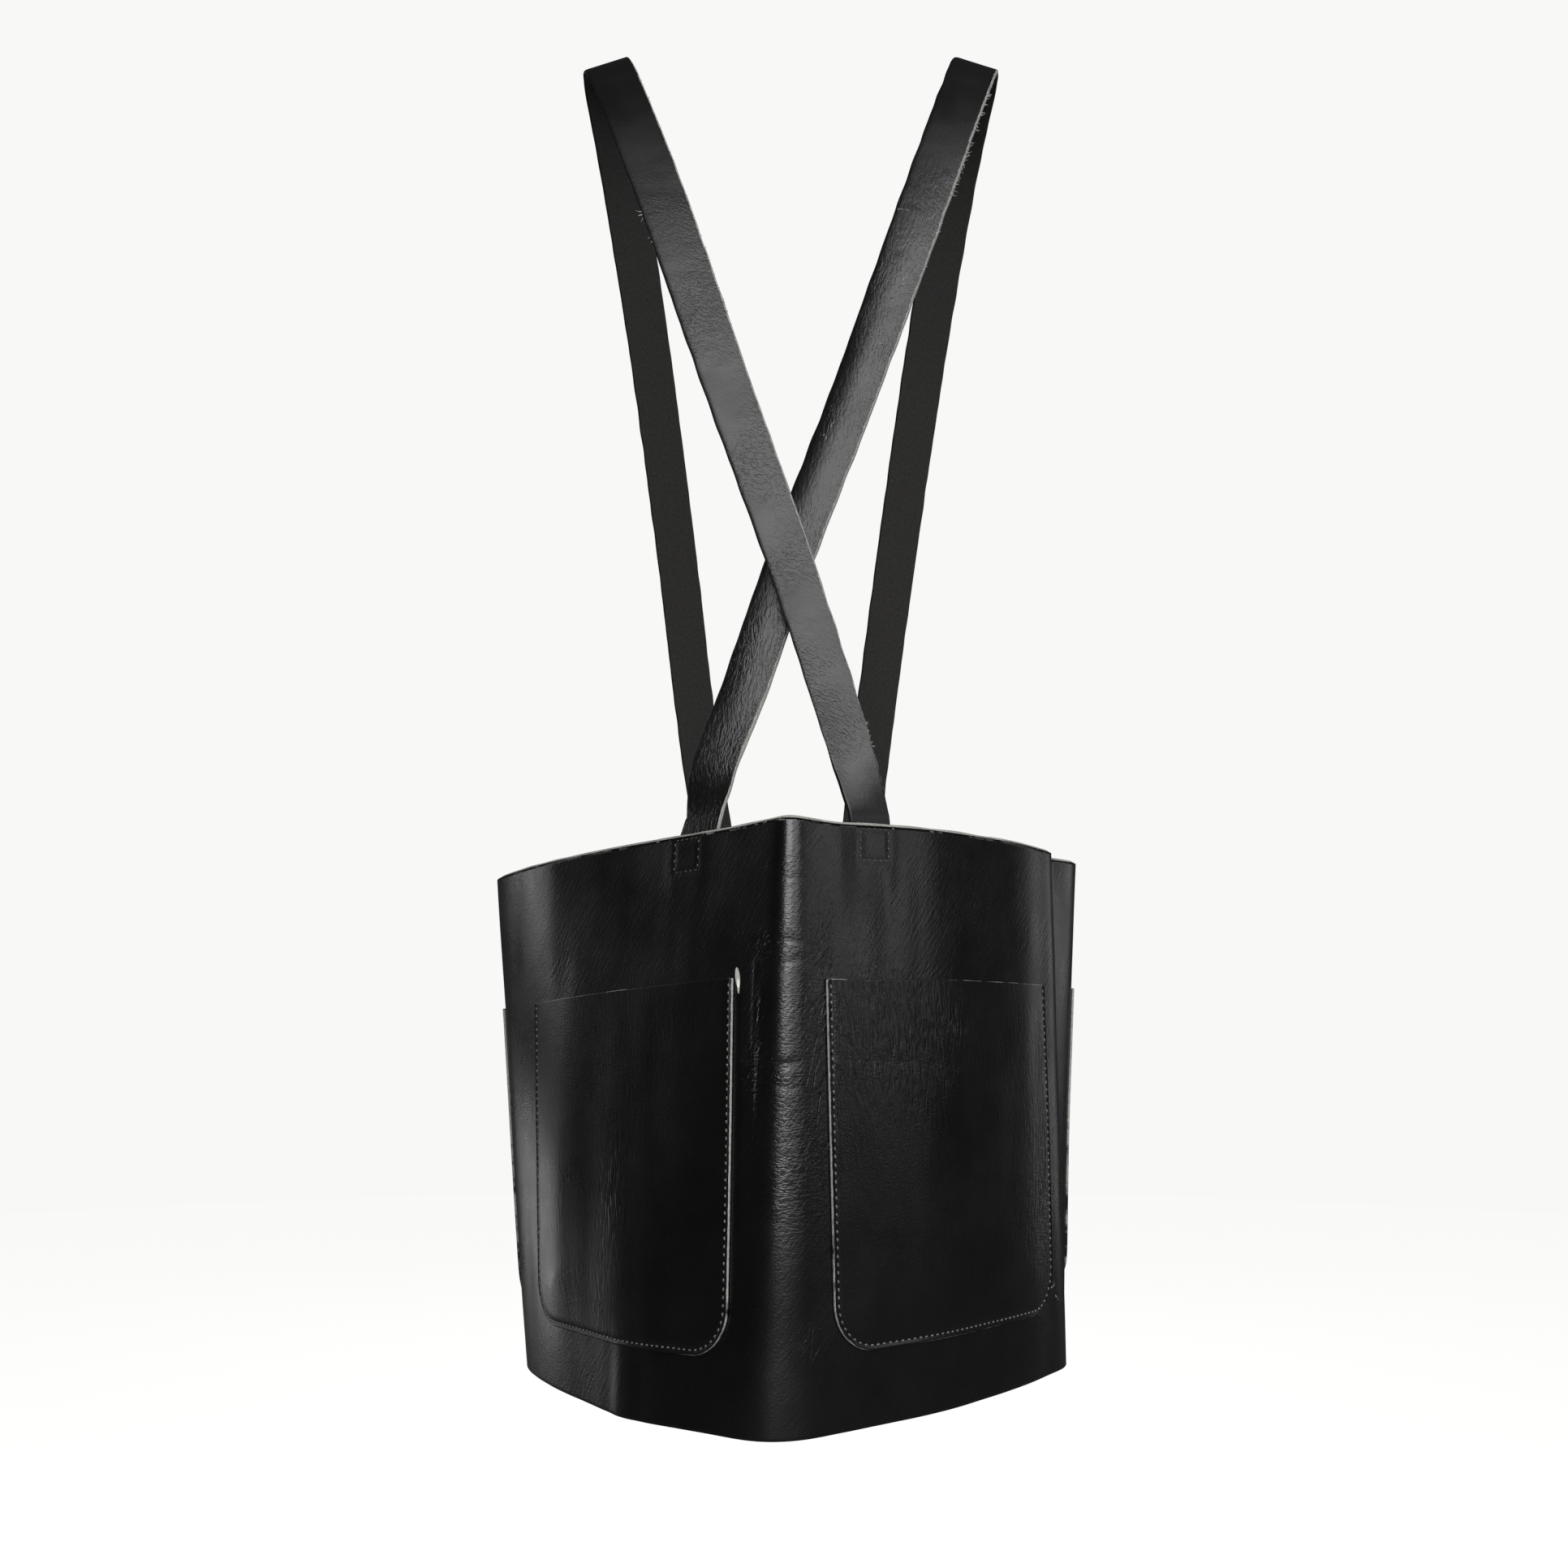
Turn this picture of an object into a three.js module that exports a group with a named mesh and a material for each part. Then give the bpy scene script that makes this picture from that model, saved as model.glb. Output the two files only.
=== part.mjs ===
import * as THREE from 'three';

// Leather pinafore apron: a wrap-round skirt panel with four patch pockets, hung from two
// shoulder straps that cross on the back and are sewn inside the top edge of the panel.
// Millimetres. +X is the wearer's right, +Y the wearer's front, +Z up. The origin lies between the
// two straps, at the height of their undersides on top of the shoulders.

// Leather thicknesses, and the air kept between two pieces that are sewn together
const SKIRT_THICKNESS = 2.4;
const POCKET_THICKNESS = 2.0;
const STRAP_THICKNESS = 2.6;
const SEAM_GAP = 0.35;

// How finely bends, flats, heights and lengths are divided
const BEND_STEPS = 8;
const FLAT_PITCH = 14;
const SKIRT_ROWS = 6;
const POCKET_PITCH = 8;
const POCKET_ROWS = 7;
const CORNER_STEPS = 5;
const STRAP_STEPS = 96;

// Folds and bends of the skirt panel, in order round the body from the centre back towards the
// wearer's right. Each row is one upright line where the outer face turns: its corner [x, y, z] at
// the top edge and at the hem, and how far from it the leather bends, at the top and at the hem.
const PANEL_DROP = 312;
const FOLDS = [
  { name: 'ridge', top: [2, -203, -546], hem: [-5, -206, -859], bend: [9, 26] },
  { name: 'right_foot', top: [27, -185, -548], hem: [36, -177, -859], bend: [12, 14] },
  { name: 'right_panel', top: [80, -149, -546.5], hem: [82, -143, -859], bend: [22, 24] },
  { name: 'right_bend', top: [137, -95, -548], hem: [134, -86, -859], bend: [24, 26] },
  { name: 'right_fold', top: [167, -52, -550], hem: [171, -33, -859], bend: [9, 14] },
  { name: 'right_valley', top: [164, -22, -550], hem: [172, -4, -859], bend: [12, 10] },
  { name: 'right_bulge', top: [202, 28, -549], hem: [182, 42, -860], bend: [26, 24] },
  { name: 'right_front', top: [170, 98, -550], hem: [161, 107, -861], bend: [34, 32] },
  { name: 'front_right', top: [104, 139, -552], hem: [98, 147, -862], bend: [36, 36] },
  { name: 'front_left', top: [-104, 139, -557], hem: [-96, 147, -865], bend: [36, 34] },
  { name: 'left_front', top: [-170, 94, -561], hem: [-152, 102, -867], bend: [36, 32] },
  { name: 'left_side', top: [-197, 18, -562], hem: [-168.5, 24, -869.5], bend: [34, 36] },
  { name: 'left_bend', top: [-150, -60, -557.5], hem: [-138, -52, -866], bend: [36, 30] },
  { name: 'left_panel', top: [-92, -110, -552], hem: [-84, -136, -864], bend: [20, 24] },
  { name: 'left_foot', top: [-29, -171, -549], hem: [-38, -180, -860], bend: [12, 10] },
];

// Patch pockets, sewn on at the sides and the foot. Distances run along the wall from the ridge,
// positive towards the wearer's right, and drops run down from the top edge of the panel. Each
// pair gives the edge nearer the ridge, then the edge further from it.
const POCKET_CORNER = 25;
const MOUTH_GAPE = 1.2;
const POCKETS = [
  {
    name: 'back_pocket_left',
    mouth: [-35, -217], foot: [-28, -218], mouthDrop: [82, 86], footDrop: [275, 276],
  },
  {
    name: 'back_pocket_right',
    mouth: [24, 207], foot: [33, 222], mouthDrop: [84, 84], footDrop: [274, 275],
  },
  {
    name: 'front_pocket_left',
    mouth: [-287, -462], foot: [-287, -462], mouthDrop: [86, 84], footDrop: [276, 274],
  },
  {
    name: 'front_pocket_right',
    mouth: [311, 486], foot: [311, 486], mouthDrop: [84, 84], footDrop: [272, 272],
  },
];

// Straps. A seam gives the distance along the wall from the ridge of the strap's middle, at the top
// edge of the panel and at the strap's end inside it. The stations between, from front to back, give
// the middle of the strap, the turn of its width about the upright and its sideways slope, in
// degrees, and its width. Each end lies flat inside the panel for the seam's drop, and rises in
// line with it for the seam's lead. The cut edges lean by the slant on each face.
const SEAM_DROP = 27;
const SEAM_LEAD = 5;
const STRAP_SLANT = 0.7;
const STRAPS = [
  {
    name: 'strap_left',
    frontSeam: [-508, -507],
    stations: [
      { at: 'waist', x: -62, y: 134, z: -460, turn: 0, slope: 0, width: 28 },
      { at: 'bust', x: -82, y: 127, z: -300, turn: 0, slope: 3, width: 29 },
      { at: 'chest', x: -102, y: 98, z: -150, turn: 0, slope: 8, width: 30 },
      { at: 'collar', x: -119, y: 50, z: -38, turn: 0, slope: 16, width: 31 },
      { at: 'shoulder', x: -125.5, y: 0, z: 1.3, turn: 0, slope: 21, width: 31 },
      { at: 'shoulder_back', x: -119.5, y: -36, z: -12.5, turn: 0, slope: 18, width: 31 },
      { at: 'blade_top', x: -105, y: -69, z: -58, turn: 0, slope: 10, width: 31 },
      { at: 'blade', x: -76.5, y: -95, z: -143, turn: 0, slope: 4, width: 30.5 },
      { at: 'mid_back', x: -32.5, y: -117, z: -280.5, turn: 0, slope: 0, width: 28.5 },
      { at: 'crossing', x: 2.5, y: -131.5, z: -386, turn: 0, slope: 0, width: 27 },
      { at: 'loin', x: 26.5, y: -150, z: -467.5, turn: 5, slope: 0, width: 26.5 },
      { at: 'over_edge', x: 38.5, y: -162, z: -512, turn: 14, slope: 0, width: 26.5 },
    ],
    backSeam: [56, 61],
  },
  {
    name: 'strap_right',
    frontSeam: [512, 511],
    stations: [
      { at: 'waist', x: 64, y: 134, z: -460, turn: 0, slope: 0, width: 28 },
      { at: 'bust', x: 86, y: 127, z: -300, turn: 0, slope: -3, width: 29 },
      { at: 'chest', x: 108, y: 98, z: -150, turn: 0, slope: -8, width: 30 },
      { at: 'collar', x: 126.5, y: 50, z: -38, turn: 0, slope: -16, width: 31 },
      { at: 'shoulder', x: 135, y: 0, z: 1.3, turn: 0, slope: -21, width: 31 },
      { at: 'shoulder_back', x: 130, y: -36, z: -12.5, turn: 0, slope: -18, width: 31 },
      { at: 'blade_top', x: 116, y: -69, z: -58, turn: 0, slope: -10, width: 30.5 },
      { at: 'blade', x: 88.5, y: -95, z: -143, turn: 0, slope: -4, width: 30 },
      { at: 'mid_back', x: 41.5, y: -114, z: -280.5, turn: 0, slope: 0, width: 28 },
      { at: 'crossing', x: 2, y: -127, z: -390, turn: 0, slope: 0, width: 27 },
      { at: 'loin', x: -22.5, y: -137, z: -465, turn: -5, slope: 0, width: 27 },
      { at: 'over_edge', x: -39.5, y: -146, z: -514, turn: -15, slope: 0, width: 27 },
    ],
    backSeam: [-72, -84],
  },
];

// Finishes of the black, smooth-grained leather
const LEATHER_FINISH = {
  skirt: { color: 0x17181a, roughness: 0.42, metalness: 0 },
  pocket: { color: 0x18191b, roughness: 0.45, metalness: 0 },
  strap: { color: 0x2a2b2d, roughness: 0.5, metalness: 0 },
};

const { lerp, degToRad, radToDeg } = THREE.MathUtils;

// One closed body through sections that are loops of equally many points. Round a ring, the last
// section joins the first. Otherwise each end is closed by rungs between the two sides of its loop.
function loft(sections, ring) {
  const loopSize = sections[0].length;
  const index = [];
  const spans = ring ? sections.length : sections.length - 1;
  for (let i = 0; i < spans; i += 1) {
    const here = i * loopSize;
    const there = ((i + 1) % sections.length) * loopSize;
    for (let j = 0; j < loopSize; j += 1) {
      const k = (j + 1) % loopSize;
      index.push(here + j, there + j, there + k, here + j, there + k, here + k);
    }
  }
  if (!ring) {
    const last = (sections.length - 1) * loopSize;
    for (let j = 0; j < loopSize / 2 - 1; j += 1) {
      const k = loopSize - 1 - j;
      index.push(j, j + 1, k - 1, j, k - 1, k);
      index.push(last + j, last + k - 1, last + j + 1, last + j, last + k, last + k - 1);
    }
  }
  const geometry = new THREE.BufferGeometry();
  geometry.setFromPoints(sections.flat());
  geometry.setIndex(signedVolume(sections.flat(), index) < 0 ? index.reverse() : index);
  geometry.computeVertexNormals();
  return geometry;
}

// Volume inside a closed triangle mesh, negative where its faces point inwards
function signedVolume(points, index) {
  let volume = 0;
  for (let i = 0; i < index.length; i += 3) {
    const [a, b, c] = [points[index[i]], points[index[i + 1]], points[index[i + 2]]];
    volume += a.dot(b.clone().cross(c)) / 6;
  }
  return volume;
}

// The point at a distance from one corner towards the next
function stepTowards(from, to, distance) {
  return from.clone().add(to.clone().sub(from).setLength(distance));
}

// Outline of the panel's outer face at a height fraction, 0 at the top edge and 1 at the hem. It
// starts at the ridge, and each point has its outward direction and its distance along the wall.
function outlineAt(height) {
  const corners = FOLDS.map(({ top, hem }) => (
    new THREE.Vector3(...top).lerp(new THREE.Vector3(...hem), height)
  ));
  const bends = FOLDS.map(({ bend }) => lerp(bend[0], bend[1], height));
  const count = FOLDS.length;
  const points = [];
  for (let i = 0; i < count; i += 1) {
    const next = (i + 1) % count;
    const bendStart = stepTowards(corners[i], corners[(i + count - 1) % count], bends[i]);
    const bendEnd = stepTowards(corners[i], corners[next], bends[i]);
    const nextStart = stepTowards(corners[next], corners[i], bends[next]);
    points.push(...new THREE.QuadraticBezierCurve3(bendStart, corners[i], bendEnd).getPoints(BEND_STEPS));
    const flatSteps = Math.ceil(flatLength(i, next) / FLAT_PITCH);
    for (let k = 1; k < flatSteps; k += 1) {
      points.push(bendEnd.clone().lerp(nextStart, k / flatSteps));
    }
  }
  const fromRidge = [...points.slice(BEND_STEPS / 2), ...points.slice(0, BEND_STEPS / 2)];
  return measured(fromRidge);
}

// Length of the flat between two folds, at the top edge
function flatLength(first, second) {
  const corner = new THREE.Vector3(...FOLDS[first].top);
  const reach = corner.distanceTo(new THREE.Vector3(...FOLDS[second].top));
  return reach - FOLDS[first].bend[0] - FOLDS[second].bend[0];
}

// A closed outline with its outward directions in plan, its running distances and its whole length
function measured(points) {
  const count = points.length;
  const outward = points.map((_, i) => {
    const along = points[(i + 1) % count].clone().sub(points[(i + count - 1) % count]);
    return new THREE.Vector3(along.y, -along.x, 0).normalize();
  });
  const runs = [0];
  for (let i = 0; i < count; i += 1) {
    runs.push(runs[i] + points[i].distanceTo(points[(i + 1) % count]));
  }
  return { points, outward, runs, length: runs[count] };
}

// A place on the wall: its distance from the ridge, its drop below the top edge, and how far
// outside the outer face it lies, with the direction that the wall faces there
function wallAt(distance, drop, outset) {
  const { points, outward, runs, length } = outlineAt(drop / PANEL_DROP);
  const run = ((distance % length) + length) % length;
  const i = runs.findLastIndex((start) => start <= run) % points.length;
  const next = (i + 1) % points.length;
  const share = (run - runs[i]) / (runs[i + 1] - runs[i]);
  const facing = outward[i].clone().lerp(outward[next], share).normalize();
  const point = points[i].clone().lerp(points[next], share).addScaledVector(facing, outset);
  return { point, facing };
}

function makeSkirt() {
  const outlines = [];
  for (let k = 0; k <= SKIRT_ROWS; k += 1) {
    outlines.push(outlineAt(k / SKIRT_ROWS));
  }
  const columns = outlines[0].points.map((_, i) => {
    const outer = outlines.map(({ points }) => points[i]);
    const inner = outlines.map(({ points, outward }) => (
      points[i].clone().addScaledVector(outward[i], -SKIRT_THICKNESS)
    ));
    return [...outer, ...inner.reverse()];
  });
  return loft(columns, true);
}

// Shares of a pocket's width where its columns stand, closer together in the rounded corners
function pocketColumns(width) {
  const corner = POCKET_CORNER / width;
  const shares = [];
  for (let k = 0; k <= CORNER_STEPS; k += 1) {
    shares.push(corner * (1 - Math.cos((k / CORNER_STEPS) * (Math.PI / 2))));
  }
  const flatSteps = Math.ceil((width - 2 * POCKET_CORNER) / POCKET_PITCH);
  for (let k = 1; k < flatSteps; k += 1) {
    shares.push(lerp(corner, 1 - corner, k / flatSteps));
  }
  return [...shares, ...shares.slice(0, CORNER_STEPS + 1).reverse().map((share) => 1 - share)];
}

// How far the foot of a pocket rises above its straight line, in the rounded corners
function cornerRise(share, width) {
  const fromEdge = Math.min(share, 1 - share) * width;
  const short = Math.max(POCKET_CORNER - fromEdge, 0);
  return POCKET_CORNER - Math.sqrt(POCKET_CORNER ** 2 - short ** 2);
}

function makePocket({ mouth, foot, mouthDrop, footDrop }) {
  const width = Math.abs(mouth[1] - mouth[0]);
  const columns = pocketColumns(width).map((share) => {
    const top = lerp(...mouthDrop, share);
    const bottom = lerp(...footDrop, share) - cornerRise(share, width);
    const outer = [];
    const inner = [];
    for (let k = 0; k <= POCKET_ROWS; k += 1) {
      const down = k / POCKET_ROWS;
      const drop = lerp(top, bottom, down);
      const lean = (drop - mouthDrop[0]) / (footDrop[0] - mouthDrop[0]);
      const distance = lerp(lerp(...mouth, share), lerp(...foot, share), lean);
      const gape = MOUTH_GAPE * Math.sin(Math.PI * share) * (1 - down) ** 2;
      outer.push(wallAt(distance, drop, SEAM_GAP + gape + POCKET_THICKNESS).point);
      inner.push(wallAt(distance, drop, SEAM_GAP + gape).point);
    }
    return [...outer, ...inner.reverse()];
  });
  return loft(columns, false);
}

// A station where a strap lies flat against the inner face of the panel, or just above it in line
function seamStation([edge, end], drop, width) {
  const distance = lerp(edge, end, drop / SEAM_DROP);
  const { point, facing } = wallAt(distance, drop, -SKIRT_THICKNESS - SEAM_GAP - STRAP_THICKNESS / 2);
  const turn = Math.atan2(facing.x, -facing.y);
  const frontTurn = Math.atan2(-facing.x, facing.y);
  return { ...point, turn: radToDeg(facing.y < 0 ? turn : frontTurn), slope: 0, width };
}

function makeStrap({ frontSeam, stations, backSeam }) {
  const seamDrops = [-SEAM_LEAD, 0, SEAM_DROP];
  const frontRows = seamDrops.map((drop) => seamStation(frontSeam, drop, stations[0].width));
  const backRows = seamDrops.map((drop) => seamStation(backSeam, drop, stations.at(-1).width));
  const rows = [...frontRows.reverse(), ...stations, ...backRows];
  const middle = new THREE.CatmullRomCurve3(rows.map(({ x, y, z }) => new THREE.Vector3(x, y, z)));
  const lie = new THREE.CatmullRomCurve3(
    rows.map(({ turn, slope, width }) => new THREE.Vector3(degToRad(turn), degToRad(slope), width)),
  );
  const sections = [];
  for (let k = 0; k <= STRAP_STEPS; k += 1) {
    sections.push(strapSection(middle, lie, k / STRAP_STEPS));
  }
  return loft(sections, false);
}

// Section of a strap: its edges are cut on a slant, so that the cut towards +X shows from outside
function strapSection(middle, lie, share) {
  const { x: turn, y: slope, z: width } = lie.getPoint(share);
  const along = middle.getTangent(share);
  const across = new THREE.Vector3(
    Math.cos(turn) * Math.cos(slope),
    Math.sin(turn) * Math.cos(slope),
    Math.sin(slope),
  );
  across.addScaledVector(along, -across.dot(along)).normalize();
  const out = along.clone().cross(across);
  const corner = (side, face) => middle.getPoint(share)
    .addScaledVector(across, (side * width) / 2 - face * STRAP_SLANT)
    .addScaledVector(out, (face * STRAP_THICKNESS) / 2);
  return [corner(-1, 1), corner(0, 1), corner(1, 1), corner(1, -1), corner(0, -1), corner(-1, -1)];
}

function leatherMesh(name, geometry, finish) {
  const mesh = new THREE.Mesh(geometry, new THREE.MeshStandardMaterial(finish));
  mesh.name = name;
  return mesh;
}

const apron = new THREE.Group();
apron.add(leatherMesh('skirt_panel', makeSkirt(), LEATHER_FINISH.skirt));
for (const pocket of POCKETS) {
  apron.add(leatherMesh(pocket.name, makePocket(pocket), LEATHER_FINISH.pocket));
}
for (const strap of STRAPS) {
  apron.add(leatherMesh(strap.name, makeStrap(strap), LEATHER_FINISH.strap));
}

export default apron;
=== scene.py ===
"""Leather pinafore apron: a stiff black wrap skirt with patch pockets, hung from crossed straps."""

import math
import random
from collections import namedtuple

import bmesh
import bpy
import numpy as np
from mathutils import Matrix, Vector, noise


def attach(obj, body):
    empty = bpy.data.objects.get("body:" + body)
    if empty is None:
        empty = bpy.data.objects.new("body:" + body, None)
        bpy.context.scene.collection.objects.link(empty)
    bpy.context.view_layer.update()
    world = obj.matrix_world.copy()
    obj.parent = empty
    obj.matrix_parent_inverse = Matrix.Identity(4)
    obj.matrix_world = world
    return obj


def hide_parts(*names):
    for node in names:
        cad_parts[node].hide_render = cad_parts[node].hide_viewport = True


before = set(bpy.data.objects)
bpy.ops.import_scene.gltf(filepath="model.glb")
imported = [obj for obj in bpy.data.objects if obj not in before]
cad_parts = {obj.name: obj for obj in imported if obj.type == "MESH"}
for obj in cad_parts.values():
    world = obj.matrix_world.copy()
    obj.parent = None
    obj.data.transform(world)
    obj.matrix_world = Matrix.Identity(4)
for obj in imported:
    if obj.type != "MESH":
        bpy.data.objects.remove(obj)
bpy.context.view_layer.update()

bl_info = {
    "name": "Leather Pinafore Apron",
    "version": (1, 0, 0),
    "blender": (4, 5, 0),
    "location": "3D View > Sidebar > Apron",
    "description": "Dresses the apron's frame in worn black leather with raw edges and stitches",
    "category": "Object",
}

MM = 0.001

# Folds of the skirt panel, in millimetres, in order round the body from the centre back towards the
# wearer's right: the corner at the top edge and at the hem, and how far from it the leather bends.
Fold = namedtuple("Fold", "name top hem bend")
PANEL_DROP = 312
FOLDS = (
    Fold("ridge", (2, -203, -546), (-5, -206, -859), (9, 26)),
    Fold("right_foot", (27, -185, -548), (36, -177, -859), (12, 14)),
    Fold("right_panel", (80, -149, -546.5), (82, -143, -859), (22, 24)),
    Fold("right_bend", (137, -95, -548), (134, -86, -859), (24, 26)),
    Fold("right_fold", (167, -52, -550), (171, -33, -859), (9, 14)),
    Fold("right_valley", (164, -22, -550), (172, -4, -859), (12, 10)),
    Fold("right_bulge", (202, 28, -549), (182, 42, -860), (26, 24)),
    Fold("right_front", (170, 98, -550), (161, 107, -861), (34, 32)),
    Fold("front_right", (104, 139, -552), (98, 147, -862), (36, 36)),
    Fold("front_left", (-104, 139, -557), (-96, 147, -865), (36, 34)),
    Fold("left_front", (-170, 94, -561), (-152, 102, -867), (36, 32)),
    Fold("left_side", (-197, 18, -562), (-168.5, 24, -869.5), (34, 36)),
    Fold("left_bend", (-150, -60, -557.5), (-138, -52, -866), (36, 30)),
    Fold("left_panel", (-92, -110, -552), (-84, -136, -864), (20, 24)),
    Fold("left_foot", (-29, -171, -549), (-38, -180, -860), (12, 10)),
)

# Patch pockets, in millimetres: distances along the wall from the ridge, positive towards the
# wearer's right, and drops below the top edge, at the edge nearer the ridge and then the far one.
# The tones say how pale the cut edge is on the near side, the foot, the far side and the mouth; the low
# tones of the foot, the far side and the mouth paint those edges dark as painted shade.
Pocket = namedtuple("Pocket", "name mouth foot mouth_drop foot_drop tones")
FOOT_CORNER = 25
MOUTH_CORNER = 1.5
POCKETS = (
    Pocket("back_pocket_left", (-35, -217), (-28, -218), (82, 86), (275, 276), (1, 0.1, 0.1, 0.12)),
    Pocket("back_pocket_right", (24, 207), (33, 222), (84, 84), (274, 275), (1, 0.12, 0.1, 0.12)),
    Pocket("front_pocket_left", (-287, -462), (-287, -462), (86, 84), (276, 274), (0.8, 0.3, 0.3, 0.3)),
    Pocket("front_pocket_right", (311, 486), (311, 486), (84, 84), (272, 272), (0.8, 0.3, 0.3, 0.3)),
)

# Places where the pockets' cut edges are rubbed: the middle, the reach and how pale the edge is
Rub = namedtuple("Rub", "distance drop reach tone")
RUBS = (
    Rub(-128, 84, 10, 0.8), Rub(-165, 85, 14, 0.42), Rub(-48, 272, 15, 0.95),
    Rub(-212, 270, 14, 0.55), Rub(45, 268, 14, 0.95), Rub(112, 276, 26, 0.66), Rub(150, 275, 14, 0.62),
    Rub(190, 274, 12, 0.66), Rub(150, 84, 45, 0.5), Rub(197, 84, 14, 0.62), Rub(30, 84, 8, 0.6),
)

# Straps, in millimetres and degrees, from the front over the shoulder to the back. A seam gives the
# strap's distance along the wall at the top edge and at its end inside. The cup is how far the
# middle of the strap stands out over its two edges, and the curl how far its left edge turns in.
Station = namedtuple("Station", "at x y z turn slope width cup curl")
Strap = namedtuple("Strap", "name front_seam stations back_seam")
SEAM_DROP = 27
SEAM_LEAD = 5
STRAPS = (
    Strap("strap_left", (-508, -507), (
        Station("waist", -62, 134, -460, 0, 0, 28, 0, 0),
        Station("bust", -82, 127, -300, 0, 3, 29, 0.3, 0),
        Station("chest", -102, 98, -150, 0, 8, 30, 0.3, 0),
        Station("collar", -119, 50, -38, 0, 16, 31, 0, 0),
        Station("shoulder", -125.5, 0, 1.3, 0, 21, 31, 0, 0),
        Station("shoulder_back", -119.5, -36, -12.5, 0, 18, 31, 0, 0),
        Station("blade_top", -105, -69, -58, 0, 10, 31, 0.2, 0),
        Station("blade", -76.5, -95, -143, 0, 4, 30.5, 0.4, 0),
        Station("mid_back", -32.5, -117, -280.5, 0, 0, 28.5, 0.5, 0),
        Station("crossing", 2.5, -131.5, -386, 0, 0, 27, 0.4, 0),
        Station("loin", 26.5, -150, -467.5, 8, 0, 26.5, 0.3, 0),
        Station("over_edge", 38.5, -162, -512, 18, 0, 26.5, 0, 0),
    ), (56, 61)),
    Strap("strap_right", (512, 511), (
        Station("waist", 64, 134, -460, 0, 0, 28, 0, 0),
        Station("bust", 86, 127, -300, 0, -3, 29, 0.3, 0),
        Station("chest", 108, 98, -150, 0, -8, 30, 0.3, 0),
        Station("collar", 126.5, 50, -38, 0, -16, 31, 0, 0),
        Station("shoulder", 135, 0, 1.3, 0, -21, 31, 0, 0),
        Station("shoulder_back", 130, -36, -12.5, 0, -18, 31, 0, 0),
        Station("blade_top", 116, -69, -58, 0, -10, 30.5, 0.3, 0),
        Station("blade", 88.5, -95, -143, 0, -4, 30, 0.8, 0.6),
        Station("mid_back", 41.5, -114, -280.5, 0, 0, 28, 0.8, 4.6),
        Station("crossing", 2, -127, -390, 0, 0, 27, 0.6, 3.8),
        Station("loin", -22.5, -137, -465, -7, 0, 27, 0.6, 2.6),
        Station("over_edge", -39.5, -146, -514, -17, 0, 27, 0, 1.0),
    ), (-72, -84)),
)

# Wrinkled places of the panel and the pockets: the middle, the reach along the wall and down, and
# the strength, from 0 to 1, of fine wrinkles that run down the leather and of cracks across it
Patch = namedtuple("Patch", "name distance drop along down wrinkle crack")
PATCHES = (
    Patch("ridge_neck", 0, 30, 12, 10, 0.2, 0.5),
    Patch("ridge_upper", -4, 68, 18, 14, 0.3, 0.75),
    Patch("ridge_lower", -7, 131, 22, 18, 0.3, 0.75),
    Patch("ridge_line", 2, 120, 12, 95, 0.3, 0.25),
    Patch("ridge_foot", 19, 266, 12, 14, 0.9, 0.1),
    Patch("ridge_flank", -14, 125, 8, 60, 0.9, 0),
    Patch("ridge_belly", 3, 172, 20, 42, 0.35, 0.45),
    Patch("right_flank", 22, 125, 15, 95, 1.0, 0.2),
    Patch("right_shoulder", 120, 50, 85, 45, 0.5, 0),
    Patch("pocket_pull", 76, 116, 66, 56, 0.85, 0),
    Patch("pocket_fold", 80, 128, 45, 9, 0.6, 0.3),
    Patch("pocket_side", 205, 190, 20, 90, 0.6, 0.2),
    Patch("left_pocket_drag", -125, 195, 20, 65, 0.6, 0),
)

# Creases pressed into the leather across the ridge: the middle, half the length and the width of
# each, how far it drops over its length, and its depth
Crease = namedtuple("Crease", "name distance drop half width fall depth")
CREASES = (
    Crease("neck_crack", 1, 33, 9, 1.5, 1.5, 0.25),
    Crease("upper_crack", -5, 65, 15, 1.6, 1.0, 0.5),
    Crease("upper_crack_twin", -2, 77, 12, 1.6, -2.0, 0.4),
    Crease("lower_crack", -8, 130, 18, 1.6, -3.0, 0.5),
    Crease("lower_crack_twin", -3, 139, 14, 1.6, 2.0, 0.35),
    Crease("pocket_fold", 78, 128, 42, 1.9, 3.0, 0.12),
)

# Places where the panel stands out: the middle, half the width and half the height, how soft the
# rim of the swelling is, and its height
Swell = namedtuple("Swell", "name distance drop along down soft height")
SWELLS = (
    Swell("left_strap_end", -78, 10, 8, 10, 12, 0.5),
    Swell("right_strap_end", 54, 12, 8, 10, 14, 0.9),
    Swell("right_drag", 70, 62, 3, 18, 16, 0.5),
    Swell("flank_drag", -15, 120, 0.2, 30, 2.6, 0.5),
    Swell("flank_drag_near", -11.5, 118, 0.2, 16, 2.0, 0.4),
    Swell("flank_drag_far", -19, 96, 0.2, 18, 2.2, 0.4),
    Swell("hem_drag", -108, 300, 3, 6, 13, 1.0),
)

# Stitched squares that hold the strap ends: the middle and half the width along the wall, and the
# drops of the first and last row of stitches
Box = namedtuple("Box", "name distance half top foot")
SEAM_BOXES = (
    Box("left_seam", -77.5, 9.5, 3.5, 21.5),
    Box("right_seam", 56, 9.5, 3.5, 20.5),
)

# Cuts and scratches that show the core, painted paler than the core as a painted highlight: the
# place on the flat cut of a piece, half the width and half the length, and the lean in degrees
Nick = namedtuple("Nick", "distance drop width length lean")
SKIRT_NICKS = (Nick(-32.4, 82.5, 1.7, 5.5, -12), Nick(-31.6, 87, 0.9, 4, -6))

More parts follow.
